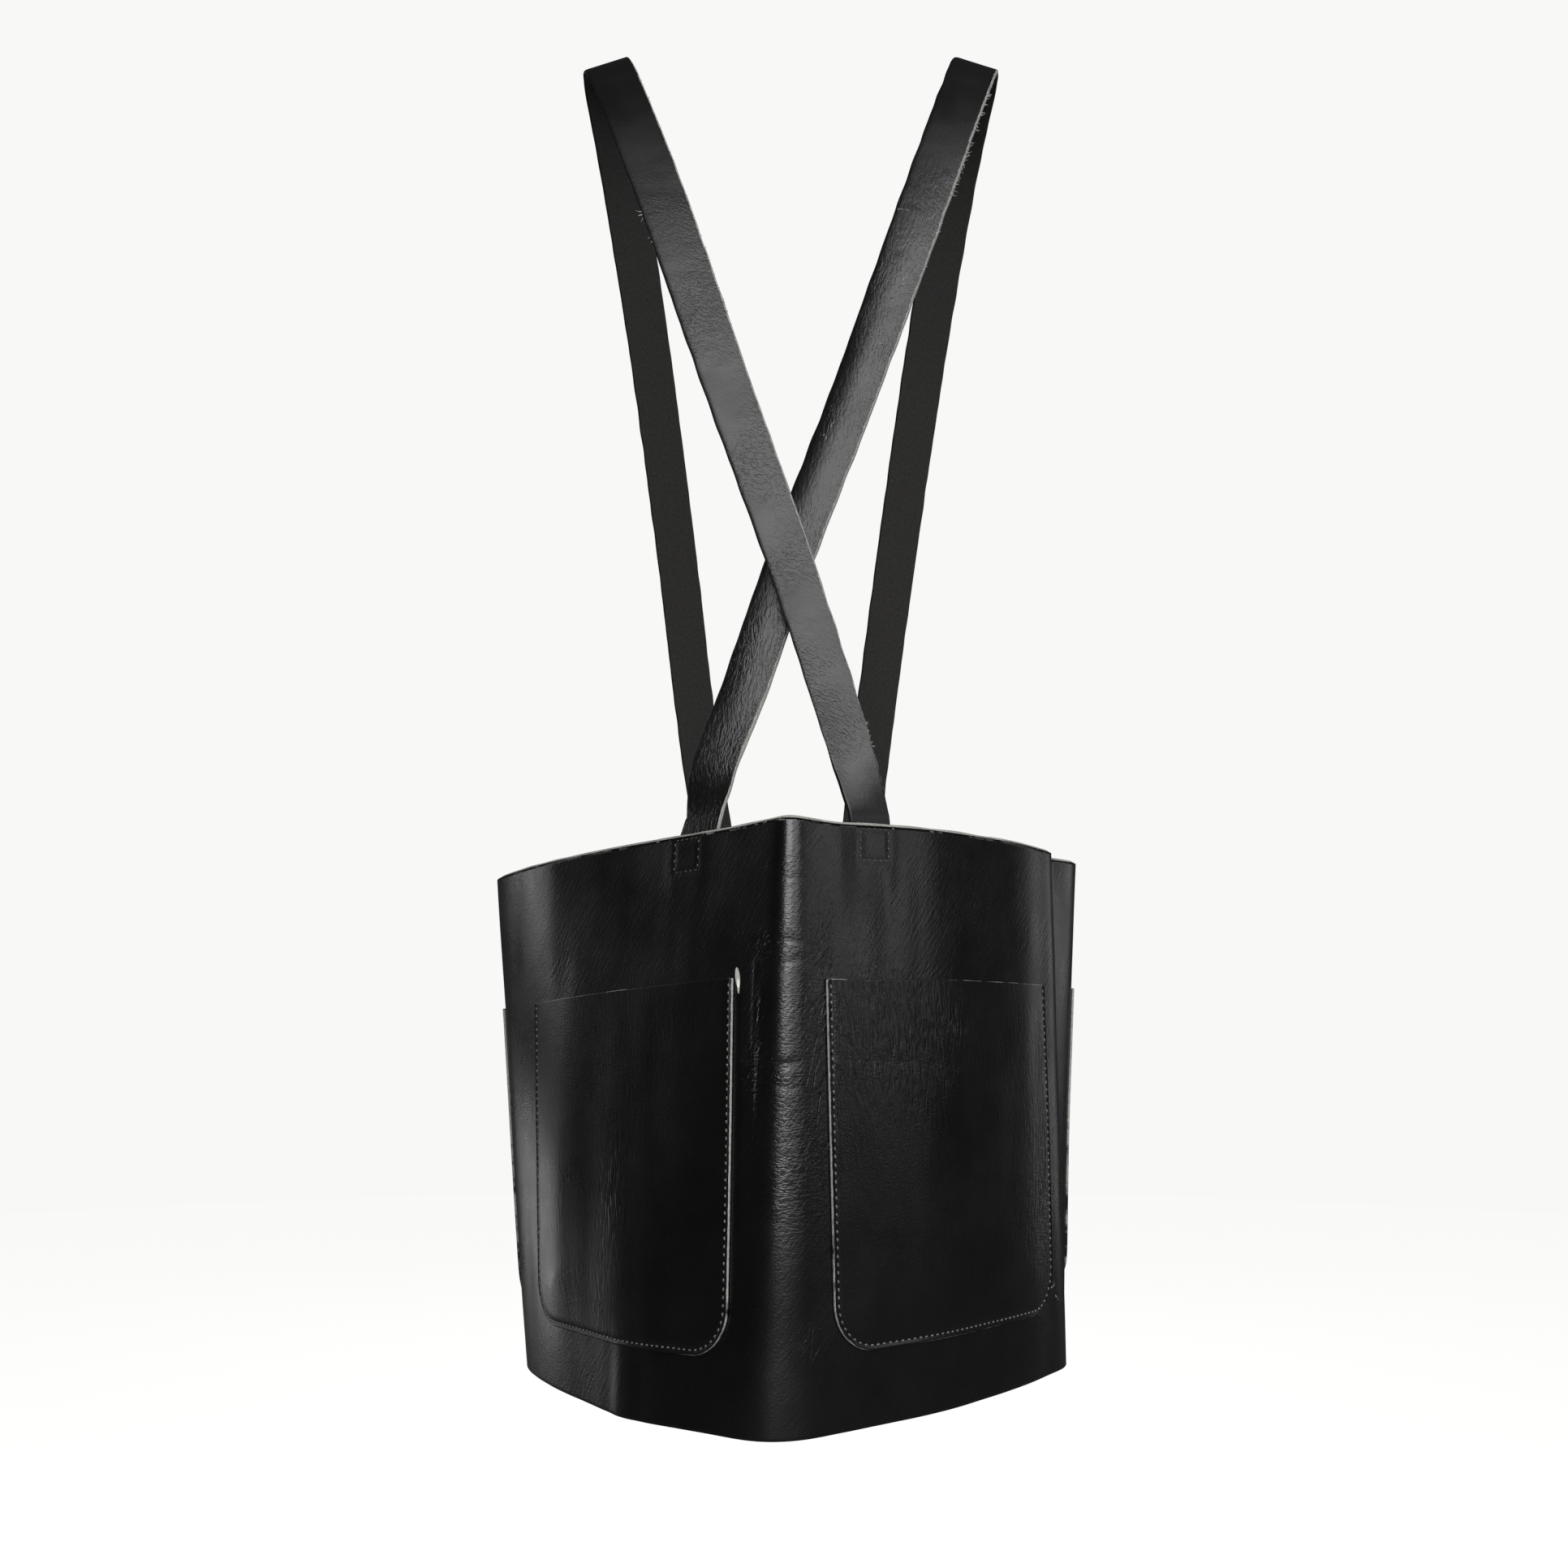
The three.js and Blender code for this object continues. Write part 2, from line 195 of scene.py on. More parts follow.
# Frayed lengths of the straps' edges: the side, -1 left and 1 right, the heights between which the
# fibres stand, how many there are and how long
Fray = namedtuple("Fray", "strap side top foot count length")
FRAYS = (
    Fray("strap_right", 1, -38, -140, 46, 3.6),
    Fray("strap_right", 1, -140, -215, 9, 1.8),
    Fray("strap_left", 1, -40, -110, 12, 1.6),
    Fray("strap_left", 1, -170, -250, 10, 1.8),
    Fray("strap_left", -1, -147, -152, 5, 4.2),
    Fray("strap_left", -1, -166, -170, 3, 2.6),
    Fray("strap_left", 1, -490, -512, 6, 2.2),
)

# Scratches on the right strap that lift pale fibres: the height, the place across, the length and
# the lean from the strap's own direction in degrees
Scratch = namedtuple("Scratch", "z across length lean")
SCRATCHES = (
    Scratch(-154, -11.5, 5, 68), Scratch(-155, -7.5, 3, 100), Scratch(-199, 5.4, 4.5, 12),
    Scratch(-202, 6.2, 3, 35), Scratch(-238, 2.8, 3, 80), Scratch(-244, 5.6, 3.5, 55),
    Scratch(-300, -5.2, 5, 10), Scratch(-308, -7.4, 2.5, 20), Scratch(-309, -5.6, 2.5, -15),
)

# Loose thread ends at a pocket's foot: where each starts, and how far along and down it reaches
ThreadEnd = namedtuple("ThreadEnd", "distance drop reach fall")
THREAD_ENDS = (ThreadEnd(216, 262, 5, -3), ThreadEnd(222, 267, 4, 4))

# How finely outlines, sheets, straps and seams are divided, in steps or in millimetres
Span = namedtuple("Span", "end pitch")
BEND_STEPS = 12
OUTLINE_STEPS = 1200
OUTLINE_LEVELS = 40
SOFTENING = 14
EDGE_INSETS = (0, 0.8, 1.7, 2.7, 3.7, 5.2, 7.5)
POCKET_PITCH = 1.9
SKIRT_ALONG = (Span(90, 1.6), Span(250, 3.2), Span(557, 6.5))
SKIRT_DOWN = (Span(24, 1.6), Span(146, 1.9), Span(306, 3.8), Span(PANEL_DROP, 2))
STRAP_COLUMNS = 20
STRAP_ROWS = 640
STRAP_PATH_STEPS = 1600
POCKET_SEAM_STEPS = 1500
BOX_SIDE_STEPS = 60

# Unevenness of a stiff hide: the length of its waves along the wall and down, how far they swing, in
# millimetres, and the layer of the noise that they come from
Wave = namedtuple("Wave", "along down swing layer")
WAVES = (Wave(48, 150, 0.75, 3.1), Wave(17, 60, 0.22, 7.7))

# The panel: the wrinkles of a calm place, how far a crease wavers in shares of its width and over
# what length, how deep and wide a strap's seam presses, how far the top edge wavers and over what
# length, and how far down its pale tone reaches, in millimetres
CALM_WRINKLE = 0.12
CREASE_WAVER, CREASE_WAVER_LENGTH = 0.9, 4
SEAM_PRESS, SEAM_PRESS_WIDTH = 0.35, 1.2
TOP_WAVER, TOP_WAVER_LENGTH = 0.4, 22
TOP_TONE_REACH = 20

# The pockets, in millimetres: how far the mouth gapes, how far the belly stands out and between which
# distances from the seam it rises, how deep and wide the stitches pull in and how far below the
# mouth they start. Their share of the full edge slant and how far in it reaches. The share of its
# tone that a cut edge keeps lower down, and the drops between which it grows darker.
POCKET_GAPE = 1.2
POCKET_BELLY, BELLY_RISE = 0.7, (4, 40)
STITCH_PULL, STITCH_PULL_WIDTH = 0.55, 1.0
SEAM_START = 2
POCKET_SLANT, SLANT_REACH = 0.1, 3
LOWER_EDGE_TONE, DARKENING_DROPS = 0.58, (110, 250)

# The straps, in millimetres: how far the cut edge wavers, how deep the face is dented, over what
# lengths, and the size of its calm patches. How far handling has pressed the left edge down, and the
# tone of the left cut edge, painted dark as shade. Depths below the shoulders where the straps begin
# to look used and where they go inside the panel. Shares of the half width where an edge is torn,
# pressed and curled.
EDGE_WAVER, EDGE_WAVER_LENGTH = 0.5, 16
DENT, DENT_LENGTH, DENT_WIDTH = 0.13, 9, 14
CALM_LENGTH, CALM_WIDTH, CALM_LEVELS = 55, 60, (-0.35, 0.3)
PRESSED, LEFT_EDGE_SHADE_TONE = 0.6, 0.12
USED_DEPTHS = (85, 150)
SUNK_DEPTHS = (492, 520)
TORN_SHARES = (0.4, 0.95)
PRESSED_SHARES = (0.86, 1)
CURL_SHARE = 0.2

# How much of the full edge slant the straps have. How torn their right edges are, and how wrinkled
# their calm places are, from 0 to 1
STRAP_SLANT = 0.55
Wear = namedtuple("Wear", "torn calm")
STRAP_WEAR = {"strap_left": Wear(0.2, 0.3), "strap_right": Wear(0.6, 0.62)}

# Stitches: their lean in degrees and how far it varies, their length in shares of the pitch and how
# it varies, their height in shares of the thread's width, and how far their middles lie over the
# leather in millimetres
STITCH_LEAN, LEAN_VARIES = 8, 6
STITCH_LENGTH, LENGTH_VARIES = 0.48, (0.9, 1.08)
STITCH_HEIGHT = 0.95
STITCH_LIFT = 0.12

# Lines in the leather: how wide and long their noise is stretched and how deep they are, in
# millimetres, and their lean in degrees. A finish has its roughness, how far slow noise sways its
# lines, its hairline wrinkles, drawn lines and cracks, and the height of its pebble.
Lines = namedtuple("Lines", "width length lean depth")
Finish = namedtuple("Finish", "roughness sway hair drawn crack pebble")
STRAP_CRACKS = Lines(8, 2.2, 8, 0.13)
FINISHES = {
    "skirt": Finish(
        0.28, 3.5, Lines(5, 34, 8, 0.14), Lines(1.8, 11, 38, 0.26), Lines(9, 2.4, 0, 0.2), 0.055),
    "pocket": Finish(
        0.29, 1.2, Lines(4.6, 24, -4, 0.19), Lines(2, 9, -8, 0.25), Lines(12, 2.6, 3, 0.2), 0.055),
    "strap_left": Finish(
        0.37, 4, Lines(2.8, 7, -48, 0.09), Lines(1.5, 4, -36, 0.16), STRAP_CRACKS, 0.015),
    "strap_right": Finish(
        0.37, 5, Lines(3, 9, -14, 0.1), Lines(1.8, 6, -17, 0.27), STRAP_CRACKS, 0.015),
}

# What each vertex of a sheet keeps for its finish
KEPT = ("inset", "wrinkle", "crack", "tone")

# Shades of a mottled surface: the levels of the noise at its dim and at its bright shade, and the
# shares of its colour that they have
Mottle = namedtuple("Mottle", "low high dim bright")

# Soft lights: the place and the aim, the size in metres, and the radiance
Light = namedtuple("Light", "name place aim width height radiance")
FLOOR_RADIUS = 6
LIGHTS = (
    Light("window", (-0.06, -3.3, 0.1), (0, -0.2, -0.5), 2.0, 1.4, 7.7),
    Light("right_window", (1.8, -3.0, 0.1), (0, -0.2, -0.5), 2.2, 1.4, 3.2),
    Light("high_window", (0.65, -2.5, 1.62), (0, -0.1, -0.3), 3.8, 0.9, 6.3),
    Light("high_side", (2.06, -1.1, 1.48), (0.04, -0.16, -0.52), 1.0, 0.8, 3.6),
    Light("side_wall", (2.87, -0.93, -0.3), (0.1, -0.14, -0.6), 0.5, 1.1, 1.8),
    Light("left_strip", (-2.47, 1.1, 0.05), (-0.17, -0.03, -0.7), 0.4, 1.4, 3.6),
    Light("left_low", (-2.15, 1.7, -1.3), (-0.17, -0.03, -0.8), 0.6, 0.6, 2.0),
    Light("right_strip", (2.28, 1.45, -0.4), (0.16, -0.07, -0.7), 0.4, 1.6, 1.25),
    Light("front", (0, 3.2, 0.9), (0, 0, -0.5), 2.4, 1.6, 3.0),
)


def linear(hex_colour):
    """An sRGB hex colour as linear red, green and blue."""
    parts = [int(hex_colour[i:i + 2], 16) / 255 for i in (1, 3, 5)]
    return tuple(p / 12.92 if p <= 0.04045 else ((p + 0.055) / 1.055) ** 2.4 for p in parts)


def mix(a, b, share):
    return a + (b - a) * share


def eased(value, low, high):
    """0 below low, 1 above high, and a smooth rise between."""
    share = min(max((value - low) / (high - low), 0), 1)
    return share * share * (3 - 2 * share)


def length_setting(name, description, millimetres):
    """A length that a user may change."""
    return bpy.props.FloatProperty(
        name=name, description=description, default=millimetres * MM, unit="LENGTH",
        subtype="DISTANCE")


def colour_setting(name, description, hex_colour):
    """A colour that a user may change."""
    return bpy.props.FloatVectorProperty(
        name=name, description=description, default=linear(hex_colour), subtype="COLOR")


class ApronSizes(bpy.types.PropertyGroup):
    skirt_thickness: length_setting("Skirt leather", "Thickness of the skirt panel", 2.4)
    pocket_thickness: length_setting("Pocket leather", "Thickness of the pockets", 1.5)
    strap_thickness: length_setting("Strap leather", "Thickness of the straps", 2.6)
    seam_gap: length_setting("Seam gap", "Air between two pieces that are sewn together", 0.35)
    edge_slant: length_setting("Edge slant", "How far a cut edge leans between its two faces", 2.1)
    edge_round: length_setting("Edge round", "Rounding of a cut edge", 0.35)
    stitch_inset: length_setting("Stitch inset", "From a pocket's edge to its row of stitches", 2.7)
    stitch_pitch: length_setting("Stitch pitch", "From one stitch to the next", 4.15)
    thread_width: length_setting("Thread", "Width of the sewing thread", 1.15)


class ApronColours(bpy.types.PropertyGroup):
    grain: colour_setting("Grain", "Dyed outer face of the leather", "#060607")
    flesh: colour_setting("Flesh side", "Napped inner face of the leather", "#262524")
    core: colour_setting("Core", "Undyed core that a cut edge shows", "#989793")
    # The thread is painted paler than the near-black real thread: part of each stitch's brightness is a
    # painted highlight
    thread: colour_setting("Thread", "Waxed sewing thread", "#5c5b57")
    floor: colour_setting("Floor", "Plain pale floor", "#f8f8f7")


class ApronStage(bpy.types.PropertyGroup):
    camera_place: bpy.props.FloatVectorProperty(
        name="Camera place", description="Behind the wearer, level with the hips",
        default=(0, -1.0, -0.65), unit="LENGTH", subtype="TRANSLATION")
    camera_tilt: bpy.props.FloatProperty(
        name="Camera tilt", description="How far the camera looks up",
        default=math.radians(8.5), unit="ROTATION", subtype="ANGLE")
    focal_share: bpy.props.FloatProperty(
        name="Focal share", description="Focal length as a share of the picture's width",
        default=1900 / 1932)
    floor_height: bpy.props.FloatProperty(
        name="Floor height", description="The floor that a wearer would stand on",
        default=-1.42, unit="LENGTH", subtype="DISTANCE")


def fold_outline(height):
    """The panel's outline at a height share, as points at equal steps from the ridge, and its length."""
    corners = [Vector(fold.top).lerp(Vector(fold.hem), height) for fold in FOLDS]
    bends = [mix(*fold.bend, height) for fold in FOLDS]
    points = []
    for i, corner in enumerate(corners):
        after = corners[(i + 1) % len(corners)]
        start = corner + (corners[i - 1] - corner).normalized() * bends[i]
        end = corner + (after - corner).normalized() * bends[i]
        for step in range(BEND_STEPS + 1):
            share = step / BEND_STEPS
            points.append(start.lerp(corner, share).lerp(corner.lerp(end, share), share))
    apex = BEND_STEPS // 2
    line = np.array(points[apex:] + points[:apex + 1])
    runs = np.concatenate(([0], np.cumsum(np.linalg.norm(np.diff(line, axis=0), axis=1))))
    steps = np.linspace(0, runs[-1], OUTLINE_STEPS, endpoint=False)
    even = np.stack([np.interp(steps, runs, line[:, axis]) for axis in range(3)], axis=1)
    for _ in range(SOFTENING):
        even = (np.roll(even, 1, 0) + 2 * even + np.roll(even, -1, 0)) / 4
    return [Vector(point) for point in even], float(runs[-1])


OUTLINES = [fold_outline(level / OUTLINE_LEVELS) for level in range(OUTLINE_LEVELS + 1)]


def panel_length(drop):
    """Length round the panel at a drop below its top edge."""
    return mix(OUTLINES[0][1], OUTLINES[-1][1], drop / PANEL_DROP)


def outline_at(level, distance):
    """The point and the direction along the wall on one outline."""
    points, length = OUTLINES[level]
    place = distance / length * OUTLINE_STEPS
    first = math.floor(place)
    here, after = points[first % OUTLINE_STEPS], points[(first + 1) % OUTLINE_STEPS]
    before, beyond = points[(first - 1) % OUTLINE_STEPS], points[(first + 2) % OUTLINE_STEPS]
    share = place - first
    return here.lerp(after, share), (after - before).lerp(beyond - here, share)


def wall_at(distance, drop, outset):
    """A place on the panel's wall and the way it faces there, in millimetres."""
    level = drop / PANEL_DROP * OUTLINE_LEVELS
    upper = min(max(math.floor(level), 0), OUTLINE_LEVELS - 1)
    high, high_along = outline_at(upper, distance)
    low, low_along = outline_at(upper + 1, distance)
    along = high_along.lerp(low_along, level - upper)
    facing = Vector((along.y, -along.x, 0)).normalized()
    wave = slow_wave(distance, drop)
    return high.lerp(low, level - upper) + facing * (outset + wave), facing


def slow_wave(distance, drop):
    """The gentle unevenness of a stiff hide, in millimetres."""
    return sum(
        wave.swing * noise.noise(Vector((distance / wave.along, drop / wave.down, wave.layer)))
        for wave in WAVES)


def worn_at(distance, drop):
    """Strength of the wrinkles and of the cracks at a place on the panel or a pocket."""
    wrinkle, crack = CALM_WRINKLE, 0
    for patch in PATCHES:
        along = (distance - patch.distance) / patch.along
        down = (drop - patch.drop) / patch.down
        share = math.exp(-along * along - down * down)
        wrinkle = max(wrinkle, patch.wrinkle * share)
        crack = max(crack, patch.crack * share)
    return wrinkle, crack


def edge_tone_at(distance, drop, tone):
    """How pale a pocket's cut edge is at a place where its own tone is known."""
    tone *= mix(1, LOWER_EDGE_TONE, eased(drop, *DARKENING_DROPS))
    for rub in RUBS:
        away = math.hypot(distance - rub.distance, drop - rub.drop) / rub.reach
        tone = max(tone, rub.tone * math.exp(-away ** 4))
    return tone


def crease_relief(distance, drop):
    """How far the pressed creases take the leather in, in millimetres below zero."""
    relief = 0
    for crease in CREASES:
        along = (distance - crease.distance) / crease.half
        waver = CREASE_WAVER * noise.noise(Vector((distance / CREASE_WAVER_LENGTH, crease.drop, 0)))
        down = (drop - crease.drop - crease.fall * along) / crease.width
        relief -= crease.depth * math.exp(-along ** 4 - (down + waver) ** 2)
    return relief


def panel_relief(distance, drop):
    """How far the panel's outer face stands out over the smooth wall, in millimetres. A swelling
    fades three times as slowly up and down as along the wall."""
    relief = crease_relief(distance, drop)
    for swell in SWELLS:
        along = 1 - eased(abs(distance - swell.distance), swell.along, swell.along + swell.soft)
        down = 1 - eased(abs(drop - swell.drop), swell.down, swell.down + 3 * swell.soft)
        relief += swell.height * along * down
    for box in SEAM_BOXES:
        beside = abs(distance - box.distance) - box.half
        below = max(drop - box.foot, box.top - drop)
        rim = max(beside, below)
        relief -= SEAM_PRESS * math.exp(-(rim / SEAM_PRESS_WIDTH) ** 2)
    return relief


def cut_sheet(columns, rows, ring):
    """A grid of leather with an inner face, an outer face and cut edges. Its vertices keep their
    column, their row and their face, 0 inside and 1 outside, for the function that places them."""
    bm = bmesh.new()
    bmesh.ops.create_grid(bm, x_segments=columns, y_segments=rows, size=1)
    column = bm.verts.layers.float.new("column")
    row = bm.verts.layers.float.new("row")
    face = bm.verts.layers.float.new("face")
    uv = bm.loops.layers.uv.new("cut")
    for vert in bm.verts:
        vert[column] = round((vert.co.x + 1) / 2 * columns)
        vert[row] = round((vert.co.y + 1) / 2 * rows)
    for grid_face in bm.faces:
        for loop in grid_face.loops:
            loop[uv].uv = (loop.vert[column], loop.vert[row])
    if ring:
        first = sorted((v for v in bm.verts if v[column] == 0), key=lambda v: v[row])
        last = sorted((v for v in bm.verts if v[column] == columns), key=lambda v: v[row])
        bmesh.ops.weld_verts(bm, targetmap=dict(zip(last, first)))
    inner = set(bm.faces)
    made = bmesh.ops.extrude_face_region(bm, geom=list(inner), use_keep_orig=True)["geom"]
    outer = {part for part in made if isinstance(part, bmesh.types.BMFace)}
    for part in made:
        if isinstance(part, bmesh.types.BMVert):
            part[face] = 1
    for sheet_face in bm.faces:
        if sheet_face in outer:
            sheet_face.material_index = 0
        else:
            sheet_face.material_index = 1 if sheet_face in inner else 2
    return bm


def place_sheet(bm, place):
    """Moves each vertex to the point that place gives in millimetres, and keeps its inset from the
    cut edge, its wrinkles, its cracks and the tone of the edge for the finish."""
    column, row, face = (bm.verts.layers.float[name] for name in ("column", "row", "face"))
    kept = [bm.verts.layers.float.new(name) for name in KEPT]
    for vert in bm.verts:
        point, *values = place(int(vert[column]), int(vert[row]), vert[face])
        vert.co = point * MM
        for layer, value in zip(kept, values):
            vert[layer] = value


def flatten_uv(bm, flat):
    """Gives the UV map its real size: each column and row becomes a flat place in metres."""
    uv = bm.loops.layers.uv["cut"]
    for sheet_face in bm.faces:
        for loop in sheet_face.loops:
            column, row = loop[uv].uv
            loop[uv].uv = Vector(flat(round(column), round(row))) * MM


def round_cut_edges(bm, width):
    """Rounds the two lines where a cut edge meets the faces of the leather."""
    bmesh.ops.recalc_face_normals(bm, faces=bm.faces[:])
    edges = [
        edge for edge in bm.edges
        if sorted(f.material_index for f in edge.link_faces) in ([0, 2], [1, 2])
    ]
    bmesh.ops.bevel(
        bm, geom=edges, offset=width, offset_type="OFFSET", segments=2, profile=0.5,
        affect="EDGES", material=-1, clamp_overlap=True)


def add_piece(bm, name, materials, node=None):
    """The finished mesh as a piece that rides on the apron, and stands for its solid if it has one."""
    mesh = bpy.data.meshes.new(name)
    bmesh.ops.recalc_face_normals(bm, faces=bm.faces[:])
    bm.to_mesh(mesh)
    bm.free()
    for material in materials:
        mesh.materials.append(material)
    mesh.shade_smooth()
    piece = bpy.data.objects.new(name, mesh)
    bpy.context.scene.collection.objects.link(piece)
    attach(piece, "root")
    if node:
        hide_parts(node)
    return piece


def add_node(tree, kind, inputs=None, **settings):
    """Adds a shader node with its settings, gives its inputs values or other nodes' outputs, and
    returns its own outputs."""
    node = tree.nodes.new("ShaderNode" + kind)
    for name, value in settings.items():
        setattr(node, name, value)
    for socket, value in (inputs or {}).items():
        if isinstance(value, bpy.types.NodeSocket):
            tree.links.new(value, node.inputs[socket])
        else:
            node.inputs[socket].default_value = value
    return node.outputs


def new_material(name):
    """An empty material and its node tree."""
    material = bpy.data.materials.new(name)
    material.use_nodes = True
    material.node_tree.nodes.clear()
    return material, material.node_tree


def finish_material(tree, inputs):
    """Ends a material's nodes with its shader."""
    shader = add_node(tree, "BsdfPrincipled", inputs)
    add_node(tree, "OutputMaterial", {"Surface": shader["BSDF"]})


def add_lines(tree, cut, lines, detail):
    """Noise stretched into lines of a real size on the flat cut."""
    place = add_node(
        tree, "Mapping", {
            "Vector": cut, "Rotation": (0, 0, math.radians(lines.lean)),
            "Scale": (lines.width * MM, lines.length * MM, 1)}, vector_type="TEXTURE")["Vector"]
    return add_node(
        tree, "TexNoise", {
            "Vector": place, "Scale": 1.0, "Detail": detail, "Roughness": 0.5, "Distortion": 0.2},
        noise_dimensions="2D")["Fac"]


def add_grooves(tree, cut, lines, strength):
    """Thin grooves where line noise crosses its middle, as a height in millimetres."""
    level = add_lines(tree, cut, lines, 2.0)
    offset = add_node(tree, "Math", {0: level, 1: 0.5}, operation="SUBTRACT")["Value"]
    away = add_node(tree, "Math", {0: offset}, operation="ABSOLUTE")["Value"]
    groove = add_node(
        tree, "MapRange", {"Value": away, "From Max": 0.09, "To Min": -lines.depth, "To Max": 0.0})
    return add_node(
        tree, "Math", {0: groove["Result"], 1: strength}, operation="MULTIPLY")["Value"]


def add_nick(tree, cut, nick):
    """1 inside a small oval cut, and 0 round it."""
    place = add_node(
        tree, "Mapping", {
            "Vector": cut, "Location": (nick.distance * MM, nick.drop * MM, 0),
            "Rotation": (0, 0, math.radians(nick.lean)),
            "Scale": (nick.width * MM, nick.length * MM, 1)}, vector_type="TEXTURE")["Vector"]
    reach = add_node(tree, "VectorMath", {0: place}, operation="LENGTH")["Value"]
    return add_node(tree, "Math", {0: reach, 1: 1.0}, operation="LESS_THAN")["Value"]


def add_mottle(tree, level, mottle, colour):
    """A colour that goes from a dim to a bright shade as noise rises."""
    share = add_node(
        tree, "MapRange", {"Value": level, "From Min": mottle.low, "From Max": mottle.high})["Result"]
    dim, bright = ((*(part * c for c in colour), 1) for part in (mottle.dim, mottle.bright))
    return add_node(tree, "Mix", {0: share, 6: dim, 7: bright}, data_type="RGBA")[2]


def black_leather(name, finish, nicks=()):
    """Full-grain cowhide, dyed and pressed smooth: near black, with a soft window gloss, hairline
    wrinkles where it has been pulled, a low pebble, and a pale core where its edges are rubbed."""
    colours = bpy.context.scene.apron_colours
    material, tree = new_material(name)
    cut = add_node(tree, "UVMap", uv_map="cut")["UV"]
    inset, wrinkle, crack, tone = (
        add_node(tree, "Attribute", attribute_name=kept)["Fac"] for kept in KEPT)

    # Slow noise, 24 mm wide, bends all lines. The pebble of the grain is really about half a
    # millimetre wide, and is drawn 1.2 mm wide to show.
    push = add_node(
        tree, "TexNoise", {"Vector": cut, "Scale": 1 / (24 * MM), "Detail": 0.0},
        noise_dimensions="2D")["Color"]
    swayed = add_node(
        tree, "VectorMath", {0: push, 1: [finish.sway * MM] * 3, 2: cut},
        operation="MULTIPLY_ADD")["Vector"]
    pulled = add_node(
        tree, "MapRange", {"Value": wrinkle, "From Min": 0.35, "From Max": 0.95})["Result"]
    hair = add_grooves(tree, swayed, finish.hair, pulled)
    cracks = add_grooves(tree, swayed, finish.crack, crack)
    share = add_node(tree, "Math", {0: wrinkle, 1: 0.8, 2: 0.2}, operation="MULTIPLY_ADD")["Value"]
    level = add_lines(tree, swayed, finish.drawn, 1.2)
    drawn = add_node(tree, "Math", {0: level, 1: share}, operation="MULTIPLY")["Value"]
    pebble = add_node(
        tree, "TexVoronoi", {"Vector": cut, "Scale": 1 / (1.2 * MM)}, feature="SMOOTH_F1",
        voronoi_dimensions="2D")["Distance"]
    height = add_node(tree, "Math", {0: hair, 1: cracks}, operation="ADD")["Value"]
    for relief, depth in ((drawn, finish.drawn.depth), (pebble, finish.pebble)):
        height = add_node(
            tree, "Math", {0: relief, 1: depth, 2: height}, operation="MULTIPLY_ADD")["Value"]
    normal = add_node(tree, "Bump", {"Height": height, "Strength": 1.0, "Distance": MM})["Normal"]

    # Handling has polished some places and dulled others
    worn = add_node(
        tree, "TexNoise", {
            "Vector": cut, "Scale": 1 / (45 * MM), "Detail": 4.0, "Roughness": 0.6})["Fac"]
    rough = add_node(
        tree, "MapRange", {
            "Value": worn, "From Min": 0.3, "From Max": 0.7, "To Min": finish.roughness - 0.04,
            "To Max": finish.roughness + 0.06})["Result"]

    # The dye is rubbed off close to a pale cut edge, in patches, and in the nicks, which are painted
    # about 1.7 times as pale as the core: a painted highlight
    ragged = add_node(tree, "TexNoise", {"Vector": cut, "Scale": 1 / (5 * MM), "Detail": 3.0})["Fac"]
    reach = add_node(
        tree, "MapRange", {
            "Value": ragged, "From Min": 0.42, "From Max": 0.62, "To Max": 0.3})["Result"]
    pale = add_node(tree, "Math", {0: reach, 1: tone, 2: -0.03}, operation="MULTIPLY_ADD")["Value"]
    bare_and_nick_highlight = add_node(tree, "Math", {0: inset, 1: pale}, operation="LESS_THAN")["Value"]
    # The nicks are painted paler than the bare core: a painted highlight
    for nick in nicks:
        bare_and_nick_highlight = add_node(
            tree, "Math", {0: add_nick(tree, cut, nick), 1: 1.7, 2: bare_and_nick_highlight},
            operation="MULTIPLY_ADD")["Value"]
    colour = add_node(
        tree, "Mix", {0: bare_and_nick_highlight, 6: (*colours.grain, 1), 7: (*colours.core, 1)}, data_type="RGBA",
        clamp_factor=False)[2]
    finish_material(tree, {
        "Base Color": colour, "Roughness": rough, "Normal": normal, "Specular IOR Level": 0.55})
    return material


def raw_core():
    """Undyed core of the hide where the knife went through: pale and matt with torn fibres. It is dark
    where it was dyed, in random soiled patches, and where its tone is low: the dark far sides, feet
    and mouths of the pockets and the dark left edges of the straps are painted shade, and the
    skirt's cut edge is darker below its top."""
    colours = bpy.context.scene.apron_colours
    material, tree = new_material("raw_cut_leather")
    place = add_node(tree, "TexCoord")["Object"]
    tone = add_node(tree, "Attribute", attribute_name="tone")["Fac"]
    fibres = add_node(
        tree, "TexNoise", {
            "Vector": place, "Scale": 1 / (1.6 * MM), "Detail": 4.0, "Roughness": 0.7})["Fac"]
    pale = add_mottle(tree, fibres, Mottle(0.25, 0.7, 0.5, 1.2), colours.core)
    soil = add_node(tree, "TexNoise", {"Vector": place, "Scale": 1 / (7 * MM), "Detail": 3.0})["Fac"]
    tone_minus_soil = add_node(tree, "Math", {0: tone, 1: soil}, operation="SUBTRACT")["Value"]
    clean_and_lit = add_node(
        tree, "MapRange", {"Value": tone_minus_soil, "From Min": -0.08, "From Max": 0.12})["Result"]
    # The dark shade, four times the grain: for random soiled patches, and painted shade where the tone
    # is low
    handled_or_shaded = (*(4 * c for c in colours.grain), 1)
    colour = add_node(tree, "Mix", {0: clean_and_lit, 6: handled_or_shaded, 7: pale}, data_type="RGBA")[2]
    torn = add_node(
        tree, "Bump", {"Height": fibres, "Strength": 0.7, "Distance": 0.3 * MM})["Normal"]
    finish_material(tree, {
        "Base Color": colour, "Normal": torn, "Roughness": 0.92, "Specular IOR Level": 0.2})
    return material


